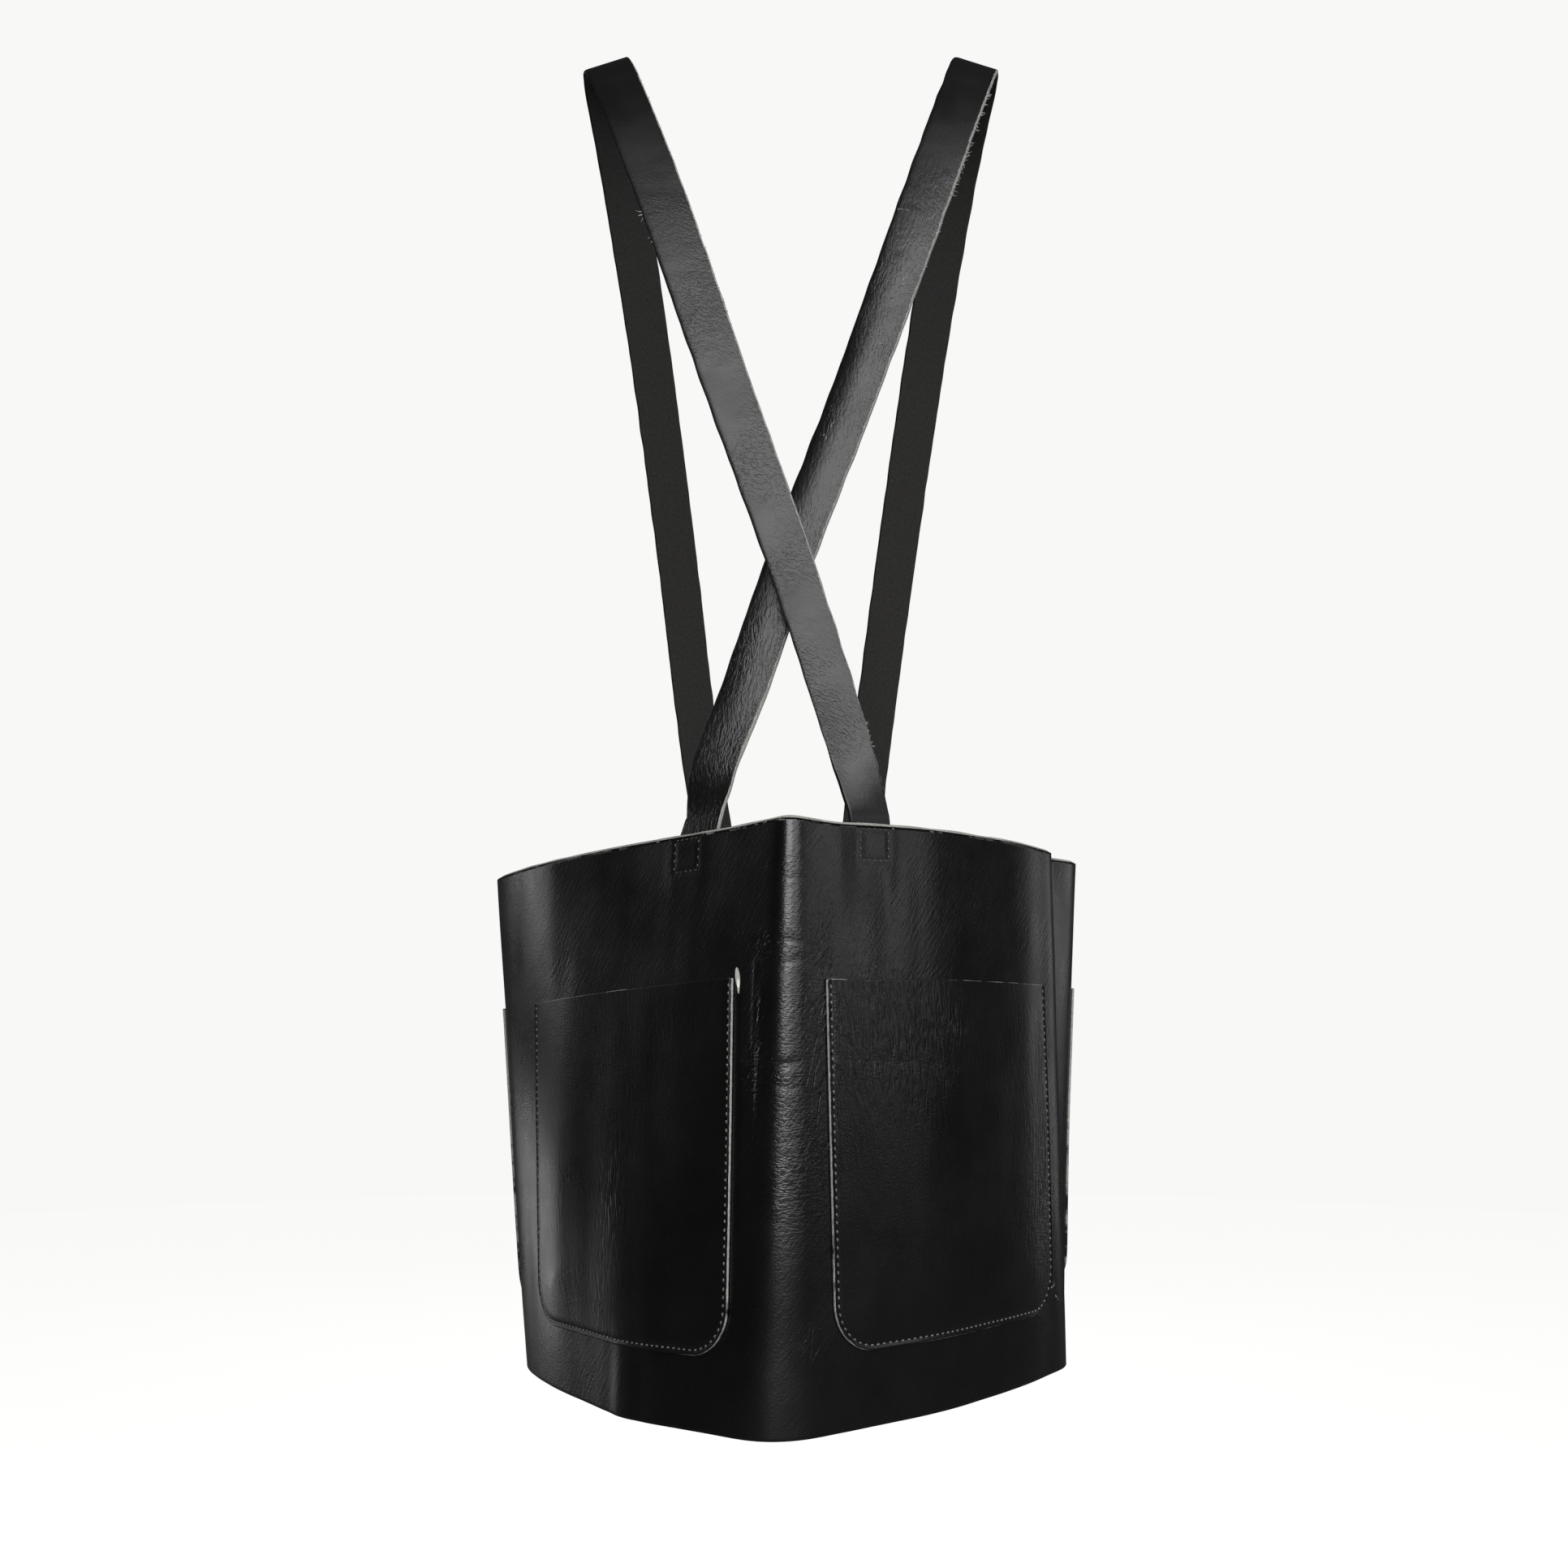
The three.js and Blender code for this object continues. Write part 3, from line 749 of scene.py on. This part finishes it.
def flesh_side():
    """Flesh side of the hide, shaved and dyed: dark, matt, with a short nap."""
    colours = bpy.context.scene.apron_colours
    material, tree = new_material("napped_flesh_side")
    cut = add_node(tree, "UVMap", uv_map="cut")["UV"]
    nap = add_node(
        tree, "TexNoise", {
            "Vector": cut, "Scale": 1 / (2.2 * MM), "Detail": 5.0, "Roughness": 0.7})["Fac"]
    colour = add_mottle(tree, nap, Mottle(0.3, 0.75, 0.6, 1.3), colours.flesh)
    raised = add_node(
        tree, "Bump", {"Height": nap, "Strength": 0.5, "Distance": 0.25 * MM})["Normal"]
    finish_material(tree, {
        "Base Color": colour, "Normal": raised, "Roughness": 0.95, "Specular IOR Level": 0.15,
        "Sheen Weight": 0.15, "Sheen Roughness": 0.6})
    return material


def waxed_thread(name, shade):
    """Twisted polyester thread, waxed: near black, painted mid grey so that part of the bright glint
    on each stitch is a painted highlight. The shade scales its colour; a copy at 0.35 is painted
    shade for the stitches round the strap ends.
    """
    colours = bpy.context.scene.apron_colours
    material, tree = new_material(name)
    place = add_node(tree, "TexCoord")["Object"]
    twist = add_node(
        tree, "TexNoise", {"Vector": place, "Scale": 1 / (0.9 * MM), "Detail": 2.0})["Fac"]
    colour = add_mottle(tree, twist, Mottle(0.3, 0.7, 0.5 * shade, 1.5 * shade), colours.thread)
    finish_material(tree, {"Base Color": colour, "Roughness": 0.38})
    return material


def leather_materials(name, finish, nicks=()):
    """The grain face, the flesh side and the cut edge of one kind of leather."""
    flesh = bpy.data.materials.get("napped_flesh_side") or flesh_side()
    core = bpy.data.materials.get("raw_cut_leather") or raw_core()
    return [black_leather(name, finish, nicks), flesh, core]


def graded(spans):
    """Places from 0 to the end of the last span, each span divided at its own pitch."""
    places = [0]
    for span in spans:
        start = places[-1]
        steps = math.ceil((span.end - start) / span.pitch)
        places += [mix(start, span.end, step / steps) for step in range(1, steps + 1)]
    return places


class APRON_OT_skirt(bpy.types.Operator):
    """Makes the wrap skirt: one stiff wall with an old fold ridge and cut top and bottom edges"""
    bl_idname = "apron.skirt"
    bl_label = "Skirt panel"

    def execute(self, context):
        sizes = context.scene.apron_sizes
        thickness = sizes.skirt_thickness / MM
        slant = sizes.edge_slant / MM
        drops = graded(SKIRT_DOWN)
        half = graded(SKIRT_ALONG)
        shares = [place / half[-1] for place in (*(-p for p in reversed(half[1:])), *half)]

        def flat(column, row):
            return shares[column] * panel_length(drops[row]) / 2, drops[row]

        def place(column, row, face):
            distance, drop = flat(column, row)
            lower = 0
            if row == 0:
                waver = noise.noise(Vector((distance / TOP_WAVER_LENGTH, 5, 1)))
                lower = TOP_WAVER * waver + slant * face
            outset = panel_relief(distance, drop) - (0 if face else thickness)
            point, _ = wall_at(distance, drop + lower, outset)
            tone = 1 - eased(drop, 0, TOP_TONE_REACH)
            return point, min(drop, PANEL_DROP - drop), *worn_at(distance, drop), tone

        bm = cut_sheet(len(shares) - 1, len(drops) - 1, ring=True)
        place_sheet(bm, place)
        flatten_uv(bm, flat)
        round_cut_edges(bm, sizes.edge_round)
        materials = leather_materials("black_skirt_leather", FINISHES["skirt"], SKIRT_NICKS)
        skirt = add_piece(bm, "skirt_leather", materials, "skirt_panel")
        return {"FINISHED"}


def rounded(across, down, width, height):
    """A place on a square-cornered cut, moved so that the cut has round corners: the squares round
    each corner's middle become arcs."""
    right, foot = across > width / 2, down > height / 2
    radius = FOOT_CORNER if foot else MOUTH_CORNER
    x = width - across if right else across
    y = height - down if foot else down
    if x < radius and y < radius:
        beside, below = radius - x, radius - y
        reach = max(beside, below)
        turn = math.pi / 4 * min(beside, below) / reach
        near, far = reach * math.sin(turn), reach * math.cos(turn)
        x, y = (radius - far, radius - near) if beside >= below else (radius - near, radius - far)
    return (width - x if right else x), (height - y if foot else y)


def spaced(length, pitch):
    """Places along a cut that lie close together near both of its edges."""
    margin = EDGE_INSETS[-1]
    steps = math.ceil((length - 2 * margin) / pitch)
    inside = [mix(margin, length - margin, step / steps) for step in range(1, steps)]
    return [*EDGE_INSETS, *inside, *(length - inset for inset in reversed(EDGE_INSETS))]


def pocket_size(pocket):
    """Width and height of a pocket's flat cut."""
    width = abs(pocket.mouth[1] - pocket.mouth[0])
    return width, pocket.foot_drop[0] - pocket.mouth_drop[0]


def pocket_wall(pocket, across, down):
    """Distance and drop on the panel's wall of a place on a pocket's flat cut."""
    width, height = pocket_size(pocket)
    across, down = rounded(across, down, width, height)
    share, lean = across / width, down / height
    distance = mix(mix(*pocket.mouth, share), mix(*pocket.foot, share), lean)
    drop = mix(mix(*pocket.mouth_drop, share), mix(*pocket.foot_drop, share), lean)
    return distance, drop


def pocket_outset(pocket, across, down, sizes):
    """How far a pocket's inner face stands off the smooth wall, with its open mouth and its belly,
    over the swellings of the panel behind it."""
    width, height = pocket_size(pocket)
    sewn = min(across, width - across, height - down)
    gape = POCKET_GAPE * math.sin(math.pi * across / width) * (1 - down / height) ** 2
    belly = POCKET_BELLY * eased(sewn, *BELLY_RISE)
    swelling = max(panel_relief(*pocket_wall(pocket, across, down)), 0)
    return sizes.seam_gap / MM + gape + belly + swelling, sewn


def seam_groove(sewn, inset):
    """How deep the row of stitches pulls the leather in, in millimetres."""
    return STITCH_PULL * math.exp(-((sewn - inset) / STITCH_PULL_WIDTH) ** 2)


class APRON_OT_pockets(bpy.types.Operator):
    """Makes the patch pockets: flat cuts with rounded feet, pulled in along their stitches"""
    bl_idname = "apron.pockets"
    bl_label = "Patch pockets"

    def execute(self, context):
        sizes = context.scene.apron_sizes
        materials = leather_materials("black_pocket_leather", FINISHES["pocket"])
        for pocket in POCKETS:
            self.add_pocket(pocket, sizes, materials)
        return {"FINISHED"}

    def add_pocket(self, pocket, sizes, materials):
        width, height = pocket_size(pocket)
        acrosses = spaced(width, POCKET_PITCH)
        downs = spaced(height, POCKET_PITCH)
        thickness = sizes.pocket_thickness / MM
        slant = POCKET_SLANT * sizes.edge_slant / MM

        def place(column, row, face):
            across, down = acrosses[column], downs[row]
            outset, sewn = pocket_outset(pocket, across, down, sizes)
            # The tone of the nearest cut edge: the low tones are painted shade
            inset, tone = min(zip((across, height - down, width - across, down), pocket.tones))
            if face:
                outset += thickness - seam_groove(sewn, sizes.stitch_inset / MM)
                outset += crease_relief(*pocket_wall(pocket, across, down))
                trim = slant * (1 - eased(inset, 0, SLANT_REACH))
                across += trim * (1 - 2 * across / width)
                down += trim * (1 - 2 * down / height)
            distance, drop = pocket_wall(pocket, across, down)
            point, _ = wall_at(distance, drop, outset)
            return point, inset, *worn_at(distance, drop), edge_tone_at(distance, drop, tone)

        bm = cut_sheet(len(acrosses) - 1, len(downs) - 1, ring=False)
        place_sheet(bm, place)
        flatten_uv(bm, lambda column, row: pocket_wall(pocket, acrosses[column], downs[row]))
        round_cut_edges(bm, sizes.edge_round)
        piece = add_piece(bm, pocket.name + "_leather", materials, pocket.name)


def spline(rows, share):
    """The point at a share of a centripetal spline through rows of numbers."""
    place = share * (len(rows) - 1)
    first = min(int(place), len(rows) - 2)
    t = place - first
    b, c = rows[first], rows[first + 1]
    a = rows[first - 1] if first else 2 * b - c
    d = rows[first + 2] if first + 2 < len(rows) else 2 * c - b
    spans = ((a, b), (b, c), (c, d))
    before, during, after = (max(np.linalg.norm(q - p) ** 0.5, 1e-4) for p, q in spans)
    leave = (b - a) / before - (c - a) / (before + during) + (c - b) / during
    arrive = (c - b) / during - (d - b) / (during + after) + (d - c) / after
    leave, arrive = leave * during, arrive * during
    square = -3 * b + 3 * c - 2 * leave - arrive
    cube = 2 * b - 2 * c + leave + arrive
    return b + leave * t + square * t * t + cube * t ** 3


def seam_row(seam, drop, width, sizes):
    """Where a strap lies flat inside the panel: its middle, turn, slope, width, cup and curl."""
    distance = mix(*seam, drop / SEAM_DROP)
    inside = (sizes.skirt_thickness + sizes.seam_gap + sizes.strap_thickness / 2) / MM
    point, facing = wall_at(distance, drop, -inside)
    if facing.y > 0:
        facing = -facing
    return (*point, math.degrees(math.atan2(facing.x, -facing.y)), 0, width, 0, 0)


def strap_rows(strap, sizes):
    """All stations of a strap from its front end to its back end, as rows of numbers."""
    drops = (-SEAM_LEAD, 0, SEAM_DROP)
    first, last = strap.stations[0].width, strap.stations[-1].width
    front = [seam_row(strap.front_seam, drop, first, sizes) for drop in reversed(drops)]
    back = [seam_row(strap.back_seam, drop, last, sizes) for drop in drops]
    return np.array([*front, *(station[1:] for station in strap.stations), *back], float)


class StrapPath:
    """The middle of a strap and the way it lies, at equal steps of its length."""

    def __init__(self, strap, sizes):
        rows = strap_rows(strap, sizes)
        shares = [step / STRAP_PATH_STEPS for step in range(STRAP_PATH_STEPS + 1)]
        middles = np.array([spline(rows[:, :3], share) for share in shares])
        lies = np.array([spline(rows[:, 3:], share) for share in shares])
        runs = np.concatenate(([0], np.cumsum(np.linalg.norm(np.diff(middles, axis=0), axis=1))))
        self.length = float(runs[-1])
        steps = np.linspace(0, self.length, STRAP_ROWS + 1)
        self.middles = [Vector(m) for m in zip(*(np.interp(steps, runs, v) for v in middles.T))]
        self.lies = list(zip(*(np.interp(steps, runs, v) for v in lies.T)))

    def back_row(self, height):
        """The row at which the strap comes down to a height on the back."""
        return next(row for row, middle in enumerate(self.middles) if middle.y < 0 and middle.z < height)

    def frame(self, row):
        """Middle, across, outward, width, cup and curl at a row."""
        ahead, behind = min(row + 1, STRAP_ROWS), max(row - 1, 0)
        along = (self.middles[ahead] - self.middles[behind]).normalized()
        turn, slope, width, cup, curl = self.lies[row]
        turn, slope = math.radians(turn), math.radians(slope)
        across = Vector((
            math.cos(turn) * math.cos(slope), math.sin(turn) * math.cos(slope), math.sin(slope)))
        across = (across - along * across.dot(along)).normalized()
        return self.middles[row], across, along.cross(across), width, cup, curl


def strap_swell(share, cup, curl):
    """How far a strap's face stands out at a share of its half width, in millimetres."""
    curled = max(CURL_SHARE - share, 0) / (1 + CURL_SHARE)
    return cup * (1 - share * share) - curl * curled ** 2


class APRON_OT_straps(bpy.types.Operator):
    """Makes the straps: hand-cut strips with slanted raw edges, crossing on the back"""
    bl_idname = "apron.straps"
    bl_label = "Shoulder straps"

    def execute(self, context):
        sizes = context.scene.apron_sizes
        for strap in STRAPS:
            materials = leather_materials("black_" + strap.name + "_leather", FINISHES[strap.name])
            self.add_strap(strap, sizes, materials)
        return {"FINISHED"}

    def add_strap(self, strap, sizes, materials):
        path = StrapPath(strap, sizes)
        thickness = sizes.strap_thickness / MM
        slant = STRAP_SLANT * sizes.edge_slant / MM
        seed = len(strap.name)
        wear = STRAP_WEAR[strap.name]

        def place(column, row, face):
            middle, across, out, width, cup, curl = path.frame(row)
            run = row / STRAP_ROWS * path.length
            share = 2 * column / STRAP_COLUMNS - 1
            waver = noise.noise(Vector((run / EDGE_WAVER_LENGTH, share, seed)))
            edge = EDGE_WAVER * waver * abs(share) ** 8
            sunk = eased(-middle.z, *SUNK_DEPTHS)
            side = share * width / 2 + edge - (face - 0.5) * slant * (1 - sunk)
            used = eased(-middle.z, *USED_DEPTHS)
            dent = DENT * noise.noise(Vector((run / DENT_LENGTH, side / DENT_WIDTH, seed)))
            pressed = PRESSED * face * eased(-share, *PRESSED_SHARES) * (1 - sunk)
            swell = strap_swell(share, cup, curl)
            outset = (face - 0.5) * thickness + swell + dent * used - pressed
            patch = noise.noise(Vector((run / CALM_LENGTH, side / CALM_WIDTH, seed + 3)))
            wrinkle = used * mix(wear.calm, 1, eased(patch, *CALM_LEVELS))
            crack = wear.torn * used * eased(share, *TORN_SHARES)
            inset = (1 - abs(share)) * width / 2
            point = middle + across * side + out * outset
            # The right cut edge keeps its full tone, and the left one gets a low tone: painted shade
            return point, inset, wrinkle, crack, 1 if share > 0 else LEFT_EDGE_SHADE_TONE

        bm = cut_sheet(STRAP_COLUMNS, STRAP_ROWS, ring=False)
        place_sheet(bm, place)
        width = max(station.width for station in strap.stations)
        flatten_uv(bm, lambda column, row: (
            column / STRAP_COLUMNS * width, row / STRAP_ROWS * path.length))
        round_cut_edges(bm, sizes.edge_round)
        piece = add_piece(bm, strap.name + "_leather", materials, strap.name)


def even_path(place, steps):
    """A path sampled finely: its points, its facings and its running length, in millimetres."""
    pairs = [place(step / steps) for step in range(steps + 1)]
    points = [point for point, _ in pairs]
    runs = [0.0]
    for here, after in zip(points, points[1:]):
        runs.append(runs[-1] + (after - here).length)
    return points, [facing for _, facing in pairs], runs


def add_stitches(bm, place, sizes, rng, steps):
    """Stitches along a path: threads that come up out of the leather and go down again."""
    points, facings, runs = even_path(place, steps)
    pitch, width = sizes.stitch_pitch / MM, sizes.thread_width / MM
    total = max(round(runs[-1] / pitch), 1)
    for k in range(total):
        middle = (k + 0.5) / total * runs[-1]
        i = min(int(np.searchsorted(runs, middle)), steps - 1)
        along = (points[i + 1] - points[i - 1]).normalized()
        up = (facings[i] - along * facings[i].dot(along)).normalized()
        lean = math.radians(STITCH_LEAN + rng.uniform(-LEAN_VARIES, LEAN_VARIES))
        along = Matrix.Rotation(lean, 3, up) @ along
        side = up.cross(along)
        length = STITCH_LENGTH * pitch * rng.uniform(*LENGTH_VARIES)
        turn = Matrix((side, up, along)).transposed().to_4x4()
        size = Matrix.Diagonal((width, STITCH_HEIGHT * width, length, 1))
        spot = Matrix.Translation((points[i] + up * STITCH_LIFT) * MM)
        bmesh.ops.create_uvsphere(
            bm, u_segments=7, v_segments=6, radius=0.5,
            matrix=spot @ turn @ size @ Matrix.Scale(MM, 4))


class APRON_OT_stitches(bpy.types.Operator):
    """Sews the pockets and the strap ends on"""
    bl_idname = "apron.stitches"
    bl_label = "Stitches"

    def execute(self, context):
        sizes = context.scene.apron_sizes
        thread = waxed_thread("waxed_sewing_thread", 1)
        rng = random.Random(11)
        for pocket in POCKETS:
            bm = bmesh.new()
            add_stitches(bm, self.pocket_seam(pocket, sizes), sizes, rng, POCKET_SEAM_STEPS)
            add_piece(bm, pocket.name + "_stitches", [thread])
        bm = bmesh.new()
        for box in SEAM_BOXES:
            for start, end in self.box_sides(box):
                add_stitches(bm, self.box_row(start, end), sizes, rng, BOX_SIDE_STEPS)
        # A darker copy of the same thread: painted shade for the strap seams
        dark_thread = waxed_thread("handled_sewing_thread", 0.35)
        add_piece(bm, "strap_seam_stitches", [dark_thread])
        return {"FINISHED"}

    def pocket_seam(self, pocket, sizes):
        """Down one side of a pocket, along its foot and up the other side, inside its edge."""
        width, height = pocket_size(pocket)
        inset = sizes.stitch_inset / MM
        down, over = height - inset - SEAM_START, width - 2 * inset
        length = 2 * down + over

        def place(share):
            run = share * length
            if run < down:
                across, below = inset, SEAM_START + run
            elif run < down + over:
                across, below = inset + run - down, height - inset
            else:
                across, below = width - inset, height - inset - (run - down - over)
            outset, sewn = pocket_outset(pocket, across, below, sizes)
            outset += sizes.pocket_thickness / MM - seam_groove(sewn, inset)
            return wall_at(*pocket_wall(pocket, across, below), outset)

        return place

    def box_sides(self, box):
        """The four sides of a strap's seam, as places on the wall."""
        near, far = box.distance - box.half, box.distance + box.half
        corners = ((near, box.top), (near, box.foot), (far, box.foot), (far, box.top))
        return zip(corners, corners[1:] + corners[:1])

    def box_row(self, start, end):
        def place(share):
            distance, drop = mix(start[0], end[0], share), mix(start[1], end[1], share)
            return wall_at(distance, drop, panel_relief(distance, drop))

        return place


def add_strand(bm, points, width):
    """A thin strand through points in millimetres, tapered to its end."""
    count = len(points) - 1
    for k, (start, end) in enumerate(zip(points, points[1:])):
        way = (end - start) * MM
        turn = way.to_track_quat("Z", "X").to_matrix().to_4x4()
        near, far = (width / 2 * MM * (1 - 0.7 * step / count) for step in (k, k + 1))
        bmesh.ops.create_cone(
            bm, cap_ends=True, segments=5, radius1=near, radius2=far, depth=way.length,
            matrix=Matrix.Translation((start + end) / 2 * MM) @ turn)


class APRON_OT_frays(bpy.types.Operator):
    """Frays the cut edges of the straps, scratches one, and leaves two thread ends"""
    bl_idname = "apron.frays"
    bl_label = "Frayed fibres"

    def execute(self, context):
        sizes = context.scene.apron_sizes
        core = bpy.data.materials["raw_cut_leather"]
        rng = random.Random(5)
        for strap in STRAPS:
            path = StrapPath(strap, sizes)
            bm = bmesh.new()
            for fray in FRAYS:
                if fray.strap == strap.name:
                    self.add_fray(bm, path, fray, sizes, rng)
            if strap.name == "strap_right":
                for scratch in SCRATCHES:
                    self.add_scratch(bm, path, scratch, sizes)
            tone = bm.verts.layers.float.new("tone")
            for vert in bm.verts:
                vert[tone] = 1
            add_piece(bm, strap.name + "_fibres", [core])
        bm = bmesh.new()
        self.add_thread_ends(bm, sizes)
        add_piece(bm, "loose_thread_ends", [bpy.data.materials["waxed_sewing_thread"]])
        return {"FINISHED"}

    def add_fray(self, bm, path, fray, sizes, rng):
        slant = STRAP_SLANT * sizes.edge_slant / MM
        for _ in range(fray.count):
            row = path.back_row(rng.uniform(fray.foot, fray.top))
            middle, across, out, width, _, _ = path.frame(row)
            along = out.cross(across)
            depth = rng.uniform(-0.4, 0.4)
            out_at = depth * sizes.strap_thickness / MM
            start = middle + across * (fray.side * (width / 2 - 0.3) - depth * slant) + out * out_at
            length = fray.length * rng.uniform(0.35, 1.0)
            way = across * fray.side + along * rng.uniform(-0.9, 0.9) + out * rng.uniform(-0.2, 0.5)
            bend = along * rng.uniform(-0.5, 0.5) + out * rng.uniform(-0.2, 0.4)
            way.normalize()
            points = [start + (way * t + bend * t * t) * length for t in (0, 0.35, 0.7, 1)]
            add_strand(bm, points, rng.uniform(0.5, 0.9))

    def add_scratch(self, bm, path, scratch, sizes):
        row = path.back_row(scratch.z)
        middle, across, out, width, cup, curl = path.frame(row)
        along = out.cross(across)
        share = 2 * scratch.across / width
        lift = sizes.strap_thickness / MM / 2 + strap_swell(share, cup, curl) + 0.05
        centre = middle + across * scratch.across + out * lift
        lean = math.radians(scratch.lean)
        way = along * math.cos(lean) + across * math.sin(lean)
        steps = ((-0.5, 0, 0), (-0.15, 0.25, 0.1), (0.2, -0.1, 0.1), (0.5, 0.2, 0))
        side = out.cross(way)
        points = [centre + way * a * scratch.length + side * b + out * c for a, b, c in steps]
        add_strand(bm, points, 0.55)

    def add_thread_ends(self, bm, sizes):
        for thread_end in THREAD_ENDS:
            distance, drop = thread_end.distance, thread_end.drop
            outset = (sizes.seam_gap + sizes.pocket_thickness) / MM + 0.4
            start, facing = wall_at(distance, drop, outset)
            end, _ = wall_at(distance + thread_end.reach, drop + thread_end.fall, outset - 0.6)
            middle = (start + end) / 2 + facing * 1.2
            add_strand(bm, [start, middle, end], sizes.thread_width / MM * 0.8)


class APRON_OT_stage(bpy.types.Operator):
    """Sets the pale floor, the soft light and the camera"""
    bl_idname = "apron.stage"
    bl_label = "Stage"

    def execute(self, context):
        stage = context.scene.apron_stage
        self.add_floor(context.scene, stage)
        self.add_world(context.scene)
        self.add_lights(context.scene)
        self.add_camera(context.scene, stage)
        context.scene.view_settings.view_transform = "Standard"
        return {"FINISHED"}

    def add_floor(self, scene, stage):
        bm = bmesh.new()
        bmesh.ops.create_circle(bm, cap_ends=True, segments=96, radius=FLOOR_RADIUS)
        bmesh.ops.translate(bm, verts=bm.verts[:], vec=(0, 0, stage.floor_height))
        mesh = bpy.data.meshes.new("floor")
        bm.to_mesh(mesh)
        bm.free()
        material, tree = new_material("matt_white_paint")
        eye = add_node(tree, "LightPath")["Is Camera Ray"]
        finish_material(tree, {
            "Base Color": (*linear("#595959"), 1), "Emission Color": (*scene.apron_colours.floor, 1),
            "Emission Strength": eye, "Roughness": 0.9})
        mesh.materials.append(material)
        floor = bpy.data.objects.new("floor", mesh)
        scene.collection.objects.link(floor)

    def add_world(self, scene):
        """As pale as the floor to the eye, and dim as a light, so that black leather stays black."""
        world = bpy.data.worlds.new("white_room")
        scene.world = world
        world.use_nodes = True
        tree = world.node_tree
        tree.nodes.clear()
        pale = (*scene.apron_colours.floor, 1)
        white = (*linear("#ffffff"), 1)
        seen = add_node(tree, "Background", {"Color": pale, "Strength": 1.0})["Background"]
        light = add_node(tree, "Background", {"Color": white, "Strength": 0.03})["Background"]
        eye = add_node(tree, "LightPath")["Is Camera Ray"]
        both = add_node(tree, "MixShader", {0: eye, 1: light, 2: seen})["Shader"]
        add_node(tree, "OutputWorld", {"Surface": both})

    def add_lights(self, scene):
        """Windows behind the camera, lower lights and strips at the sides, and one in front."""
        for row in LIGHTS:
            data = bpy.data.lights.new(row.name, "AREA")
            data.shape = "RECTANGLE"
            data.size, data.size_y = row.width, row.height
            data.energy = row.radiance * math.pi * row.width * row.height
            light = bpy.data.objects.new(row.name, data)
            light.location = row.place
            way = Vector(row.aim) - Vector(row.place)
            light.rotation_euler = way.to_track_quat("-Z", "Y").to_euler()
            light.visible_camera = False
            scene.collection.objects.link(light)

    def add_camera(self, scene, stage):
        data = bpy.data.cameras.new("camera")
        data.sensor_width = 36
        data.lens = data.sensor_width * stage.focal_share
        data.clip_start, data.clip_end = 0.01, 50
        camera = bpy.data.objects.new("camera", data)
        camera.location = stage.camera_place
        camera.rotation_euler = (math.pi / 2 + stage.camera_tilt, 0, 0)
        scene.collection.objects.link(camera)
        scene.camera = camera


class APRON_PT_panel(bpy.types.Panel):
    bl_idname = "APRON_PT_panel"
    bl_label = "Leather apron"
    bl_space_type = "VIEW_3D"
    bl_region_type = "UI"
    bl_category = "Apron"

    def draw(self, context):
        scene = context.scene
        for group in (scene.apron_sizes, scene.apron_colours, scene.apron_stage):
            for name in group.__annotations__:
                self.layout.prop(group, name)
        for operator in OPERATORS:
            self.layout.operator(operator.bl_idname)


GROUPS = {"apron_sizes": ApronSizes, "apron_colours": ApronColours, "apron_stage": ApronStage}
OPERATORS = (
    APRON_OT_stage, APRON_OT_skirt, APRON_OT_pockets, APRON_OT_straps, APRON_OT_stitches,
    APRON_OT_frays)
CLASSES = (*GROUPS.values(), *OPERATORS, APRON_PT_panel)


def register():
    for cls in CLASSES:
        bpy.utils.register_class(cls)
    for name, group in GROUPS.items():
        setattr(bpy.types.Scene, name, bpy.props.PointerProperty(type=group))


def unregister():
    for name in GROUPS:
        delattr(bpy.types.Scene, name)
    for cls in reversed(CLASSES):
        bpy.utils.unregister_class(cls)


def main():
    register()
    bpy.ops.apron.stage()
    bpy.ops.apron.skirt()
    bpy.ops.apron.pockets()
    bpy.ops.apron.straps()
    bpy.ops.apron.stitches()
    bpy.ops.apron.frays()


if __name__ == "__main__":
    main()
